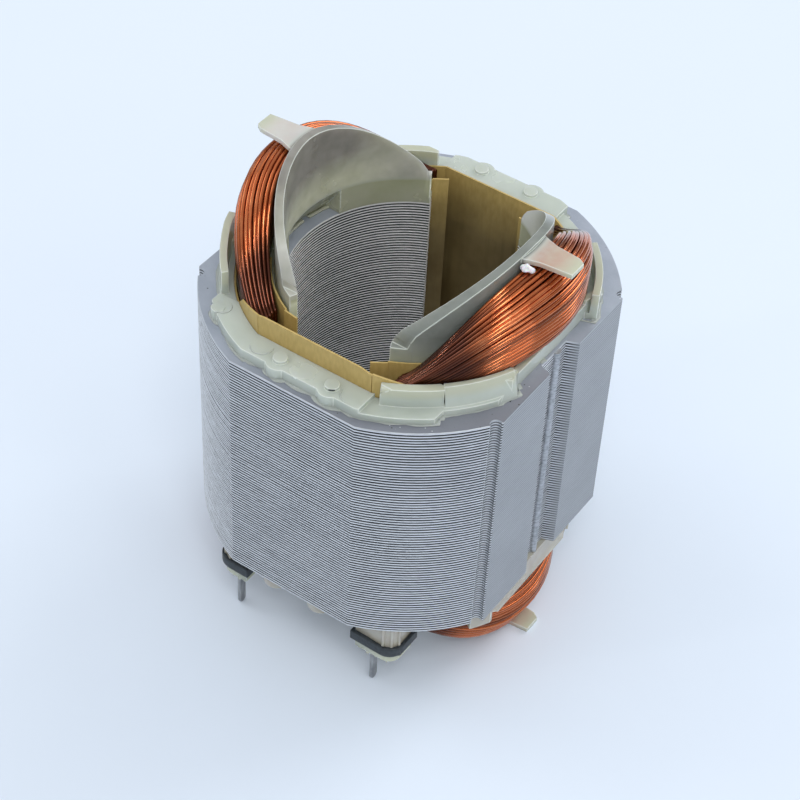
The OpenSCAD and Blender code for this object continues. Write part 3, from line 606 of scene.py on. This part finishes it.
# The outside of one plate as a closed anticlockwise loop, with a flag for the ground pole flats.
def outerLoop():
    c = core
    corner = math.degrees(math.acos(c["poleFlat"] / c["radius"]))
    shoulder = math.degrees(math.asin(c["yokeFlat"] / c["radius"]))
    bite = np.array([c["radius"] * math.cos(math.radians(c["biteAngle"])),
                     c["radius"] * math.sin(math.radians(c["biteAngle"]))])
    half = math.degrees(2 * math.asin(c["biteRadius"] / 2 / c["radius"]))
    inward = math.radians(c["biteAngle"] + 180)
    turn = np.linspace(inward - 1.5, inward + 1.5, 9)
    hollow = bite + c["biteRadius"] * np.stack([np.cos(turn), np.sin(turn)], -1)
    panelTop = c["radius"] * math.sin(math.radians(corner))
    # a quarter from the middle of the right keyway to the middle of the back yoke flat
    key = np.array([[c["keyFloor"], 0.05], [c["keyFloor"], c["keyHalf"] - c["keySlant"]],
                    [c["poleFlat"], c["keyHalf"]]])
    panel = np.stack([np.full(6, c["poleFlat"]), np.linspace(c["keyHalf"], panelTop, 6)], -1)[1:]
    stub = arc(c["radius"], corner, c["biteAngle"] - half, 3)[1:]
    bend = arc(c["radius"], c["biteAngle"] + half, shoulder, 30)
    yoke = np.stack([np.linspace(bend[-1, 0], 0.4, 9), np.full(9, c["yokeFlat"])], -1)[1:]
    quarter = np.concatenate([key, panel, stub, hollow[::-1], bend, yoke])
    ground = np.zeros(len(quarter))
    ground[len(key) - 1:len(key) + len(panel)] = 1
    ground[len(key) + len(panel) + len(stub):][:len(hollow)] = wearAndHighlight["groove"]
    return allRound(quarter), np.concatenate([ground, ground[::-1], ground, ground[::-1]])


# The inside of one plate as a closed anticlockwise loop: pole faces, tips, slots and yokes.
def innerLoop():
    c = core
    end = c["poleArc"]
    neckIn = math.degrees(math.asin(c["neck"] / c["tip"]))
    neckOut = math.degrees(math.asin(c["neck"] / c["slot"]))
    yoke = math.degrees(math.asin(c["slotFlat"] / c["slot"]))
    face = arc(c["bore"], 0.8, end, 40)
    back = arc(c["tip"], end, neckIn, 10)
    far = arc(c["slot"], neckOut, yoke, 14)
    flat = np.stack([np.linspace(far[-1, 0], 0.4, 5), np.full(5, c["slotFlat"])], -1)[1:]
    return allRound(np.concatenate([face, back, far, flat]))


# The hidden line where the two halves of the stack model meet: a circle cut by two chords.
def splitLoop():
    angle = np.radians(np.arange(0.5, 360.5, 3))
    radius = np.minimum(26.0, 23.4 / np.maximum(np.abs(np.cos(angle)), 1e-6))
    return np.stack([radius * np.cos(angle), radius * np.sin(angle)], -1)


# Rows of one plate as [height, inset, tone]: a bright crown between dark joints.
plateRows = dict(plateEdges=np.array([[0.01, 0.16, 0.0], [0.16, 0.10, 0.0], [0.19, 0.0, 1.0],
                                      [0.37, 0.0, 1.0], [0.41, 0.10, 0.0]]),
                 boreEdgesLit=np.array([[0.01, 0.16, 0.0], [0.18, 0.05, 0.0], [0.22, 0.0, 1.0],
                                     [0.35, 0.0, 1.0], [0.39, 0.06, 0.0]]))


# One wall of the stack: the loop is repeated up the plates and pulled back along its normals by
# relief times each row's inset, plus a ripple and each plate's shift.
def plateWall(loop, relief, side, seed, rows):
    rng = np.random.default_rng(seed)
    c = core
    level = np.arange(c["plates"])
    z = (c["low"] + level[:, None] * c["pitch"] + rows[None, :, 0]).ravel()
    inset = np.tile(rows[:, 1], c["plates"])
    shade = np.tile(rows[:, 2], c["plates"])
    z[0], z[-1] = c["low"], c["top"]
    # the top edge's rows get a lighter tone: a painted highlight along the stack's top edge
    shade[-2:] = wearAndHighlight["topEdgeHighlight"]
    shift = np.repeat(rng.normal(0, wearAndHighlight["shift"], (c["plates"], 2)), len(rows), 0)
    gloss = np.repeat(rng.normal(0, wearAndHighlight["gloss"], c["plates"]), len(rows))
    away = loopNormals(loop) * side
    step = relief[None, :] * inset[:, None]
    ripple = rng.normal(0, wearAndHighlight["ripple"], (len(z), len(loop))) * relief[None, :]
    plan = loop[None] - away[None] * (step + ripple)[..., None] + shift[:, None] * relief[None, :, None]
    points = np.concatenate([plan, np.broadcast_to(z[:, None, None], (*plan.shape[:2], 1))], -1)
    edge = np.minimum(relief[None] + 0.12, 1)
    tone = np.clip(shade[:, None] + gloss[:, None], 0, 1.2) * edge + (1 - edge) * wearAndHighlight["ground"]
    return points, tone


# Triangles between two closed loops at one height: those whose middle lies in one loop alone, by
# the odd number of sides that a line from it along x crosses.
def capFaces(first, second):
    both = np.concatenate([first, second])
    n, m = len(first), len(second)
    edges = [(i, (i + 1) % n) for i in range(n)] + [(n + i, n + (i + 1) % m) for i in range(m)]
    made = delaunay_2d_cdt([Vector(p) for p in both], edges, [], 0, 1e-6)
    points, faces, origin = np.array([tuple(v) for v in made[0]]), np.array(made[2]), made[3]
    centre = points[faces].mean(1)

    def holds(loop):
        a, b = loop[:, None], np.roll(loop, -1, 0)[:, None]
        cross = (a[..., 1] > centre[None, :, 1]) != (b[..., 1] > centre[None, :, 1])
        share = (centre[None, :, 1] - a[..., 1]) / (b[..., 1] - a[..., 1] + 1e-12)
        at = a[..., 0] + (b[..., 0] - a[..., 0]) * share
        return (cross & (centre[None, :, 0] < at)).sum(0) % 2 == 1

    keep = faces[holds(first) != holds(second)]
    back = np.array([o[0] for o in origin])
    tri = back[keep]
    p = both[tri]
    area = np.cross(p[:, 1] - p[:, 0], p[:, 2] - p[:, 0])
    tri[area < 0] = tri[area < 0][:, ::-1]
    return tri


# One half of the stack: its wall of plates, a plain wall along the cut, and caps at both ends.
# Side is 1 for the outer half and -1 for the inner one.
def stackPiece(name, loop, relief, side, seed, cut, edges):
    points, tone = plateWall(loop, relief, side, seed, plateRows[edges])
    rows, cols = points.shape[:2]
    wall = gridQuads(rows, cols, False, True)
    if side < 0:
        wall = wall[:, ::-1]
    inner = np.concatenate([np.column_stack([cut, np.full(len(cut), core["low"])]),
                            np.column_stack([cut, np.full(len(cut), core["top"])])])
    start = rows * cols
    hidden = gridQuads(2, len(cut), False, True) + start
    if side > 0:
        hidden = hidden[:, ::-1]
    tri = capFaces(loop, cut)
    top = np.where(tri < cols, tri + (rows - 1) * cols, tri - cols + start + len(cut))
    low = np.where(tri < cols, tri, tri - cols + start)[:, ::-1]
    faces = [*wall.tolist(), *hidden.tolist(), *top.tolist(), *low.tolist()]
    piece = meshPiece(name, np.concatenate([points.reshape(-1, 3), inner]), faces, False)
    paintValue(piece, "tone", np.concatenate([tone.ravel(), np.full(len(inner), 0.5)]))
    dress(piece, finishes[edges], finishes["plateFace"])
    paintFrom(piece, len(wall))
    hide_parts("lamination_stack")


# The coils

# The coil's section and ends in millimetres, then its wires: their number, radius, sides and depth,
# how they wander, and where their tone falls, from and to, with what the outer wire adds to each.
# the tone's fall towards the slots and the lower layer's darkening by its depth are painted shade
coil = dict(bed=0.95, clear=0.3, paper=0.25, reach=25.45, flow=2.5, ends=46, base=1.1, thick=1.1,
            upper=16.5, upperHalf=23.5, upperWall=2.5, lower=15.9, lowerHalf=24.7, lowerWall=4.8,
            underTab=1.45, legFrom=36.0, legTo=64.5, horn=1.3,
            wires=27, wire=0.315, sides=8, ridge=0.12, under=0.52, sway=0.005, lift=0.035, loose=0.04,
            bright=0.88, uneven=0.20, falls=0.90, fall=((0.38, 0.20), (0.58, 0.22)), layerShade=1.5)


# The coil's section in a slot as a line of plan points: along the yoke, with its hidden back.
def legLine():
    c = coil
    legIn = core["tip"] + c["paper"] + 0.2
    legOut = core["slot"] - c["paper"] - 0.15
    start = arc(legIn, c["legTo"] - 6, c["legTo"] - 6, 1)
    front = np.concatenate([start, arc(legOut, c["legTo"], c["legFrom"], 7)])
    turn = arc((legIn + legOut) / 2, c["legFrom"] - 3, c["legFrom"] - 3, 1)
    back = np.concatenate([turn, arc(legIn, c["legFrom"] - 2, c["legFrom"] + 15, 3)])
    return front, back


# The section in the middle of a coil end as [radius, height] points, with its hidden back.
def middleLine(rise, half, wall):
    c = coil
    near = core["bore"] + c["horn"] + c["clear"]
    edge = half - c["thick"] - 0.2
    top = rise - c["underTab"]
    front = np.array([[near, top], [near + 2, top + 0.15], [near + 4.6, top - 1.15],
                      [c["reach"] - 0.2, rise * 0.66], [c["reach"], max(rise * 0.455, wall + 3)],
                      [c["reach"] - 0.5, wall + 2.4], [min(half + 0.5, c["reach"] - 0.6), wall + 1.3],
                      [edge, wall + 0.1], [edge, c["base"] + 0.25]])
    back = np.array([[near + 1.5, 3.6], [near + 0.45, 6], [near, rise * 0.5], [near, rise * 0.7]])
    return front, back


# Where a point of the two sections lies on a coil end at the shares way: in the middle it is on
# the D section, in a slot on the leg section. Between them the radius goes with way^1.5 and the
# height with (1 - way^2.5)^1.5.
def bend(leg, mid, way, sign, foot):
    c = coil
    x = np.abs(way)
    bell = np.maximum(0, 1 - x ** c["flow"]) ** 1.5
    angle = np.arctan2(leg[..., 1], leg[..., 0]) * way
    free = mid[..., 0] + (np.linalg.norm(leg, axis=-1) - mid[..., 0]) * x ** 1.5
    legOut = core["slot"] - c["paper"] - 0.15
    radius = np.minimum(free, c["reach"] - 0.26 - (c["reach"] - legOut) * np.minimum(1, 1.2 * x))
    z = c["base"] + 0.2 + (mid[..., 1] - c["base"] - 0.2) * bell
    return np.stack([radius * np.cos(angle), radius * np.sin(angle), foot + sign * z], -1), angle, bell


# Both coil ends as direction, level and section: the upper one, then the lower one.
def coilEnds():
    c = coil
    return ((1, core["top"], middleLine(c["upper"], c["upperHalf"], c["upperWall"])),
            (-1, core["low"], middleLine(c["lower"], c["lowerHalf"], c["lowerWall"])))


# Unit normals to a line at the shares u, to its left: the step between points 0.03 each way, turned.
def sideAt(line, u):
    step = unit(along(line, np.minimum(u + 0.03, 1)) - along(line, np.maximum(u - 0.03, 0)))
    return np.stack([-step[:, 1], step[:, 0]], -1)


# Wires of one layer: each is a closed loop that follows share u of the coil's outside, deep
# under it, and wanders a little across and up. "Tone" is painted light and shade: bright on the
# lit crown of a coil end and painted shade from where it dives towards the slots, sooner beside
# the horn than outside and later by "late"; each wire adds its own random tone.
def wirePaths(seed, count, deep, late):
    c = coil
    rng = np.random.default_rng(seed)
    t = np.sin(np.linspace(-0.5, 0.5, c["ends"]) * np.pi)
    front = legLine()[0]
    paths, outwards, tones = [], [], []
    for k, u0 in enumerate((np.arange(count) + 0.5) / count):
        rounds, facing, shade = [], [], []
        own = rng.normal() * c["uneven"]
        for sign, foot, (middle, _) in coilEnds():
            way = t if sign > 0 else -t
            x = np.abs(way)
            sway = wander(t * 0.5 + 0.5, seed * 977 + k * 13 + sign, 3, 0.5) * c["sway"]
            sway = sway * np.sqrt(1 - x ** 4 * 0.8)
            u = np.clip(u0 + sway, 0.004, 0.996)
            lift = wander(t * 0.5 + 0.5, seed * 331 + k * 7 + sign, 3, 0.6) * c["lift"]
            lift = lift + rng.normal() * c["loose"]
            legOut, midOut = sideAt(front, u), sideAt(middle, u)
            sink = (c["wire"] - c["ridge"] + deep - np.clip(lift, -0.12, 0.12))[:, None]
            leg = along(front, u) - legOut * np.maximum(sink, 0.2)
            mid = along(middle, u) - midOut * sink
            spot, angle, bell = bend(leg, mid, way, sign, foot)
            rounds.append(spot)
            plan = np.stack([np.cos(angle), np.sin(angle)], -1) * (midOut[:, 0] * bell)[:, None]
            legXY = np.stack([legOut[:, 0], legOut[:, 1] * np.sign(way + 1e-9)], -1)
            plan = plan + legXY * (1 - bell)[:, None]
            facing.append(np.concatenate([plan, (sign * midOut[:, 1] * bell)[:, None]], -1))
            # painted shade where the wires dive towards the slots
            diveShade = ramp(x, *(place + late + more * u0 for place, more in c["fall"]))
            # the lower layer's tone is cut by its depth: painted shade in the gaps between the top wires
            shade.append((c["bright"] + own) * (1 - c["falls"] * diveShade) - deep * c["layerShade"])
        paths.append(np.concatenate(rounds))
        outwards.append(np.concatenate(facing))
        tones.append(np.concatenate(shade))
    return np.array(paths), np.array(outwards), np.array(tones)


# The imported wires below the ones that show: one closed skin, set under the coil's outside, in a
# dark finish that is painted shade for the gaps between the wires.
def bedSurface():
    c = coil
    t = np.sin(np.linspace(-0.5, 0.5, c["ends"]) * np.pi)
    u = np.linspace(0.0, 1.0, 30)
    front, back = legLine()
    leg = np.concatenate([along(front, u) - sideAt(front, u) * 0.6, back])
    rows = []
    for sign, foot, (middle, behind) in coilEnds():
        mid = np.concatenate([along(middle, u) - sideAt(middle, u) * c["bed"], behind])
        rows.append(bend(leg[None], mid[None], (t if sign > 0 else -t)[:, None], sign, foot)[0])
    points = np.concatenate(rows)
    return points.reshape(-1, 3), gridQuads(points.shape[0], points.shape[1], True, True)


# One winding: two layers of wires over the bed, turned half round for the left pole.
def coilPiece(name, node, turned, seed, late):
    c = coil
    points, faces, tones = [], [], []
    start = 0
    for layer, deep in enumerate((0.0, c["under"])):
        paths, outwards, tone = wirePaths(seed + layer * 10, c["wires"] - layer, deep, late)
        ring, quads = tubes(paths, c["wire"], c["sides"], outwards)
        points.append(ring)
        faces.append(quads + start)
        tones.append(np.repeat(tone.ravel(), c["sides"]))
        start += len(ring)
    skin, quads = bedSurface()
    points.append(skin)
    faces.append(quads + start)
    tones.append(np.zeros(len(skin)))
    points = np.concatenate(points)
    if turned:
        points = points * [-1, -1, 1]
    piece = meshPiece(name, points, np.concatenate(faces))
    paintValue(piece, "tone", np.clip(np.concatenate(tones), 0, 1))
    dress(piece, finishes["copper"], finishes["copperBedShade"])
    paintFrom(piece, -len(quads))
    fixFacing(piece)
    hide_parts(node)


# The moulded insulators

# In millimetres: rounding of the edges, the foot film's thickness, reach and ragged part, its noises
# as [cell, seed, share], the radius and flats it stays inside, and the skirts' length and tears.
moulding = dict(edge=0.10, film=0.14, reach=0.22, ragged=0.34, noises=((3.2, 5, 0.8), (1.1, 6, 0.25)),
                inside=(29.4, 27.7, 25.4), skirt=0.9, torn=0.8, shreds=0.9)


# Outline of a CAD node's cut at a height, seen from the axis: the largest radius at each angle.
def outlineAt(node, height, angles):
    work = bmesh.new()
    work.from_mesh(nodes[node].data)
    bmesh.ops.remove_doubles(work, verts=work.verts, dist=rounding["merge"])
    ends = np.array([[list(v.co) for v in edge.verts] for edge in work.edges]) * 1000
    work.free()
    low, high = ends[:, 0, 2] - height, ends[:, 1, 2] - height
    ends, low, high = (a[low * high < 0] for a in (ends, low, high))
    spots = ends[:, 0] + (ends[:, 1] - ends[:, 0]) * (low / (low - high))[:, None]
    place, radius = np.arctan2(spots[:, 1], spots[:, 0]), np.hypot(spots[:, 0], spots[:, 1])
    near = np.abs((place[None] - angles[:, None] + np.pi) % (2 * np.pi) - np.pi) < np.radians(1.6)
    return np.where(near, radius[None], 0).max(1)


# A thin ragged film of nylon round the foot of the upper moulding: its outer edge is the foot's
# outline plus reach plus lattice noise.
def footFilm(node):
    m = moulding
    angles = np.radians(np.arange(0, 360, 0.5))
    outline = outlineAt(node, core["top"] + 0.4, angles)
    outline = np.where(outline > 20, outline, np.nan)
    known = ~np.isnan(outline)
    outline = np.interp(angles, angles[known], outline[known], period=2 * np.pi)
    around = np.column_stack([30 * np.cos(angles), 30 * np.sin(angles), 0 * angles])
    noise = sum(lattice(around, cell, seed) * share for cell, seed, share in m["noises"])
    reach = np.clip(m["reach"] + noise * m["ragged"], -0.2, 0.8)
    rim, yokeSide, poleSide = m["inside"]
    most = np.minimum(rim, yokeSide / np.maximum(np.abs(np.sin(angles)), 1e-6))
    most = np.minimum(most, poleSide / np.maximum(np.abs(np.cos(angles)), 1e-6))
    outer = np.minimum(outline + reach, most)
    rings = []
    for radius, z in ((outline - 0.6, 0.01), (outer, 0.01), (outer + 0.02, m["film"] * 0.6),
                      (outer - 0.12, m["film"]), (outline - 0.6, m["film"] + 0.2)):
        rings.append(np.column_stack([radius * np.cos(angles), radius * np.sin(angles),
                                      np.full(len(angles), core["top"] + z)]))
    quads = gridQuads(5, len(angles), True, True)
    piece = closedPiece("foot_film", np.concatenate(rings), quads, "nylonTop")


# Marks on the front land as [x, y, radius, from, to] in millimetres and degrees, the dark pit in the
# side of a peg, a black body standing as painted shade in a shadowed slit, with its half sizes and
# its turn's cosine and sine, and a hairline on the stack's top.
marks = dict(rise=1.8, width=0.24, height=0.13,
             arcs=((-7.45, -24.6, 1.65, -150, 20), (7.7, -25.0, 1.5, -185, -80),
                   (-16.5, -21.6, 1.25, -200, 70)),
             pit=(5.24, -26.05, 2.10), pitShadeSize=(0.5, 0.14, 0.15), pitShadeTurn=(0.845, 0.535), hair=0.07,
             crack=((24.30, -11.71), (24.03, -10.58), (24.01, -9.64), (24.33, -9.27), (24.64, -10.25),
                    (24.50, -10.8), (24.15, -10.0)))


# A low ridge along each arc, tapered to both ends: half width w * sin(pi u)^0.4.
def landMarks():
    m = marks
    u = np.linspace(0, 1, 25)
    taper = np.sin(np.pi * np.clip(u, 0.02, 0.98)) ** 0.4
    low = core["top"] + m["rise"]
    points, faces = [], []
    for k, (x, y, radius, start, end) in enumerate(m["arcs"]):
        turn = np.radians(start + (end - start) * u)
        for out, z in ((-0.5, -0.03), (0.0, m["height"]), (0.5, -0.03)):
            far = radius + out * m["width"] * taper
            plan = x + far * np.cos(turn), y + far * np.sin(turn)
            points.append(np.column_stack([*plan, low + z * taper]))
        base = k * 3 * len(u)
        faces += (gridQuads(3, len(u), True, False) + base).tolist()
        faces += [[base + j * len(u) + e for j in range(3)] for e in (0, len(u) - 1)]
    ridges = closedPiece("land_marks", np.concatenate(points), faces, "nylonTopEdgeLit")
    # a black body in a peg's side: painted shade of a shadowed slit
    x, y, z = m["pit"]
    wide, thick, tall = m["pitShadeSize"]
    cosine, sine = m["pitShadeTurn"]
    turn, tilt = np.radians(np.arange(0, 360, 20))[None], np.radians(np.linspace(-80, 80, 9))[:, None]
    side = wide * np.cos(tilt) * np.cos(turn)
    deep = thick * np.cos(tilt) * np.sin(turn)
    ball = np.stack([x + cosine * side + sine * deep, y + sine * side - cosine * deep,
                     core["top"] + z + tall * np.sin(tilt) + 0 * turn], -1)
    caps = [list(range(18))[::-1], list(range(8 * 18, 9 * 18))]
    quads = gridQuads(9, 18, False, True).tolist()
    pit = closedPiece("peg_slit_shade", ball.reshape(-1, 3), quads + caps, "rubber")
    line = along(np.array(m["crack"]), np.linspace(0, 1, 60))
    path = np.concatenate([line, line[::-1] + [0.03, 0.03]])
    path = np.column_stack([path, np.full(len(path), core["top"])])[None]
    ring, quads = tubes(path, m["hair"], 5, np.array([0.0, 0.0, 1.0]))
    crack = closedPiece("top_scratch", ring, quads, "rubber")


# Torn skirts of nylon round the blades under the bands: a closed wall on a rounded rectangle
# whose lower edge hangs by lattice noise.
def postSkirts():
    m = moulding
    turn = np.radians(np.arange(0, 360, 3))
    corner = np.maximum(np.abs(np.cos(turn)) ** 6 + np.abs(np.sin(turn)) ** 6, 1e-9) ** (-1 / 6)
    points, faces = [], []
    for k, node in enumerate(n for n in nodes if n.startswith("band")):
        low, high = (np.array(c) * 1000 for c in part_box(node))
        middle, half = (low + high) / 2, (high - low) / 2
        plan = np.column_stack([half[0] * corner * np.cos(turn), half[1] * corner * np.sin(turn)])
        noise = lattice(np.column_stack([plan, np.full(len(turn), k * 9.0)]), m["shreds"], 31)
        hang = np.clip(m["skirt"] + noise * m["torn"], 0.15, 1.7)
        for share, z in ((0.66, 0.4), (0.66, -hang), (0.52, -hang), (0.52, 0.4)):
            height = np.broadcast_to(low[2] + z, len(turn))
            points.append(np.column_stack([middle[:2] + plan * share, height]))
        faces.append(gridQuads(4, len(turn), True, True) + k * 4 * len(turn))
    piece = closedPiece("post_skirts", np.concatenate(points), np.concatenate(faces), "nylonLow")


# The floor shows the camera a plain pale colour by a share that grows from the first of "seen"
# within near mm of the object's axis to the second past far mm; the rest keeps its shadow. The
# world turns from "side" to "world" as a direction rises. A lamp is its place, size, power and tint.
stage = dict(floor=3.0, pale=(0.775, 0.868, 0.992), paper=((0.725, 0.80, 0.905), (0.745, 0.82, 0.925)),
             seen=(0.0, 0.72), near=55, far=140, world=(0.92, 0.96, 1.0), side=(0.20, 0.215, 0.235),
             rise=(0.05, 0.65), strength=0.78, aim=(0, 0, 0.03),
             lamps=dict(key=((0.34, -0.42, 0.80), 0.28, 2.3, (1.0, 0.99, 0.97)),
                        back=((0.25, 0.70, 0.55), 0.45, 2.3, (0.97, 0.985, 1.0)),
                        left=((-0.70, -0.15, 0.50), 0.40, 1.0, (1.0, 1.0, 1.0)),
                        spark=((-0.50, -0.70, 0.45), 0.06, 0.42, (1.0, 1.0, 1.0)),
                        right=((0.80, -0.15, 0.35), 0.35, 0.9, (1.0, 0.99, 0.97))))


def setFloor():
    s = stage
    half = s["floor"]
    corners = [(-half, -half, 0), (half, -half, 0), (half, half, 0), (-half, half, 0)]
    mesh = bpy.data.meshes.new("floor")
    mesh.from_pydata(corners, [], [(0, 1, 2, 3)])
    floor = newObject("floor", mesh)
    black = (0.0, 0.0, 0.0)
    f = Finish("floorPaper", Roughness=0.6, Emission_Strength=1.0)
    camera, glossy, through = (f.node("ShaderNodeLightPath", output=k) for k in (0, 3, 6))
    x, y = f.axis(0), f.axis(1)
    away = ((x * x + y * y) ** 0.5).within(s["near"], s["far"])
    share = away * (s["seen"][1] - s["seen"][0]) + s["seen"][0]
    eye = (camera + glossy + through).within(0, 1) * share
    paper = f.mix(f.noise(60, 3).within(0.3, 0.7), *s["paper"])
    dress(floor, f.feed(Base_Color=f.mix(eye, paper, black), Emission_Color=f.mix(eye, black, s["pale"])))


def setLight():
    s = stage
    sky = Finish("tent", bpy.data.worlds.new("tent"), "Background", Strength=s["strength"])
    bpy.context.scene.world = sky.owner
    height = sky.node("ShaderNodeSeparateXYZ", {}, [sky.node("ShaderNodeTexCoord")], 2)
    sky.feed(Color=sky.mix(height.within(*s["rise"]), s["side"], s["world"]))
    for name, (spot, size, power, tint) in s["lamps"].items():
        lamp = bpy.data.lights.new(name, "AREA")
        lamp.size = size
        lamp.energy = power
        lamp.color = tint
        holder = newObject(name, lamp)
        holder.location = spot
        holder.rotation_euler = (Vector(s["aim"]) - Vector(spot)).to_track_quat("-Z", "Y").to_euler()


# The camera stands where the photograph was taken: angles in degrees, lens in mm, place in metres.
shot = dict(azimuth=32.6494, elevation=44.5551, roll=3.2266, lens=97.0766, place=(0.12297, -0.19292, 0.25876))


# Back points from the object to the camera; right and up are turned about it by the roll.
def setCamera():
    azimuth, elevation, roll = (math.radians(shot[key]) for key in ("azimuth", "elevation", "roll"))
    flat = math.cos(elevation)
    back = Vector((math.sin(azimuth) * flat, -math.cos(azimuth) * flat, math.sin(elevation)))
    right = Vector((math.cos(azimuth), math.sin(azimuth), 0))
    up = back.cross(right)
    tiltedRight = right * math.cos(roll) + up * math.sin(roll)
    tiltedUp = -right * math.sin(roll) + up * math.cos(roll)
    lens = bpy.data.cameras.new("camera")
    lens.sensor_width = 36
    lens.lens = shot["lens"]
    lens.clip_start = 0.01
    holder = newObject("camera", lens)
    turn = Matrix((tiltedRight, tiltedUp, back)).transposed().to_4x4()
    holder.matrix_world = Matrix.Translation(shot["place"]) @ turn
    bpy.context.scene.camera = holder


finishes = dict(plateEdges=plateEdgeFinish("plateEdges"), boreEdgesLit=plateEdgeFinish("boreEdgesLit"),
                plateFace=plateFaceFinish(), weld=grainFinish("weldBead"),
                nylonTop=nylonFinish("nylonTop", core["top"], 1),
                nylonTopEdgeLit=nylonFinish("nylonTopEdgeLit", core["top"], 1, True),
                nylonLow=nylonFinish("nylonLow", core["low"], -1),
                nylonLowEdgeLit=nylonFinish("nylonLowEdgeLit", core["low"], -1, True),
                copper=copperFinish(), copperBedShade=grainFinish("copperBedShade"), paper=paperFinish(),
                rubber=grainFinish("blackBand"), blade=bladeFinish(), resin=grainFinish("whiteResin"))
print("finishes made")

outerPlan, groundFlag = outerLoop()
innerPlan = innerLoop()
cut = splitLoop()
stackPiece("plates_outside", outerPlan, 1 - wearAndHighlight["smoothed"] * groundFlag, 1, 11, cut, "plateEdges")
stackPiece("plates_inside", innerPlan, np.ones(len(innerPlan)), -1, 12, cut, "boreEdgesLit")
print("plates made")

# the last number delays where the wires' painted shade starts; the left winding's starts later
coilPiece("winding_right", "coil_right", False, 3, 0.0)
coilPiece("winding_left", "coil_left", True, 4, 0.14)
print("windings made")

for name, node in list(nodes.items()):
    if name.startswith("weld"):
        dress(node, finishes["weld"])
    elif name.startswith(("slot_liner", "yoke_paper")):
        dress(node, finishes["paper"])
    elif name.startswith("blade"):
        rounded(name, name + "_rounded", 0.16, finishes["blade"])
    elif name.startswith("band"):
        rounded(name, name + "_rounded", 0.2, finishes["rubber"])
    elif name.startswith("lead"):
        dress(node, finishes["copper"])

drop = moulded("resin_drop", "resin_splash")
dress(drop, finishes["resin"])
for node, plane, inner, edge in (("top_insulator", core["top"], "nylonTop", "nylonTopEdgeLit"),
                                 ("bottom_insulator", core["low"], "nylonLow", "nylonLowEdgeLit")):
    cast = rounded(node, node + "_moulded", moulding["edge"], finishes[inner], finishes[edge], plane=plane)
footFilm("top_insulator")
landMarks()
postSkirts()
print("mouldings made")

setFloor()
setLight()
setCamera()
bpy.context.scene.view_settings.view_transform = "Standard"
print("stage set")
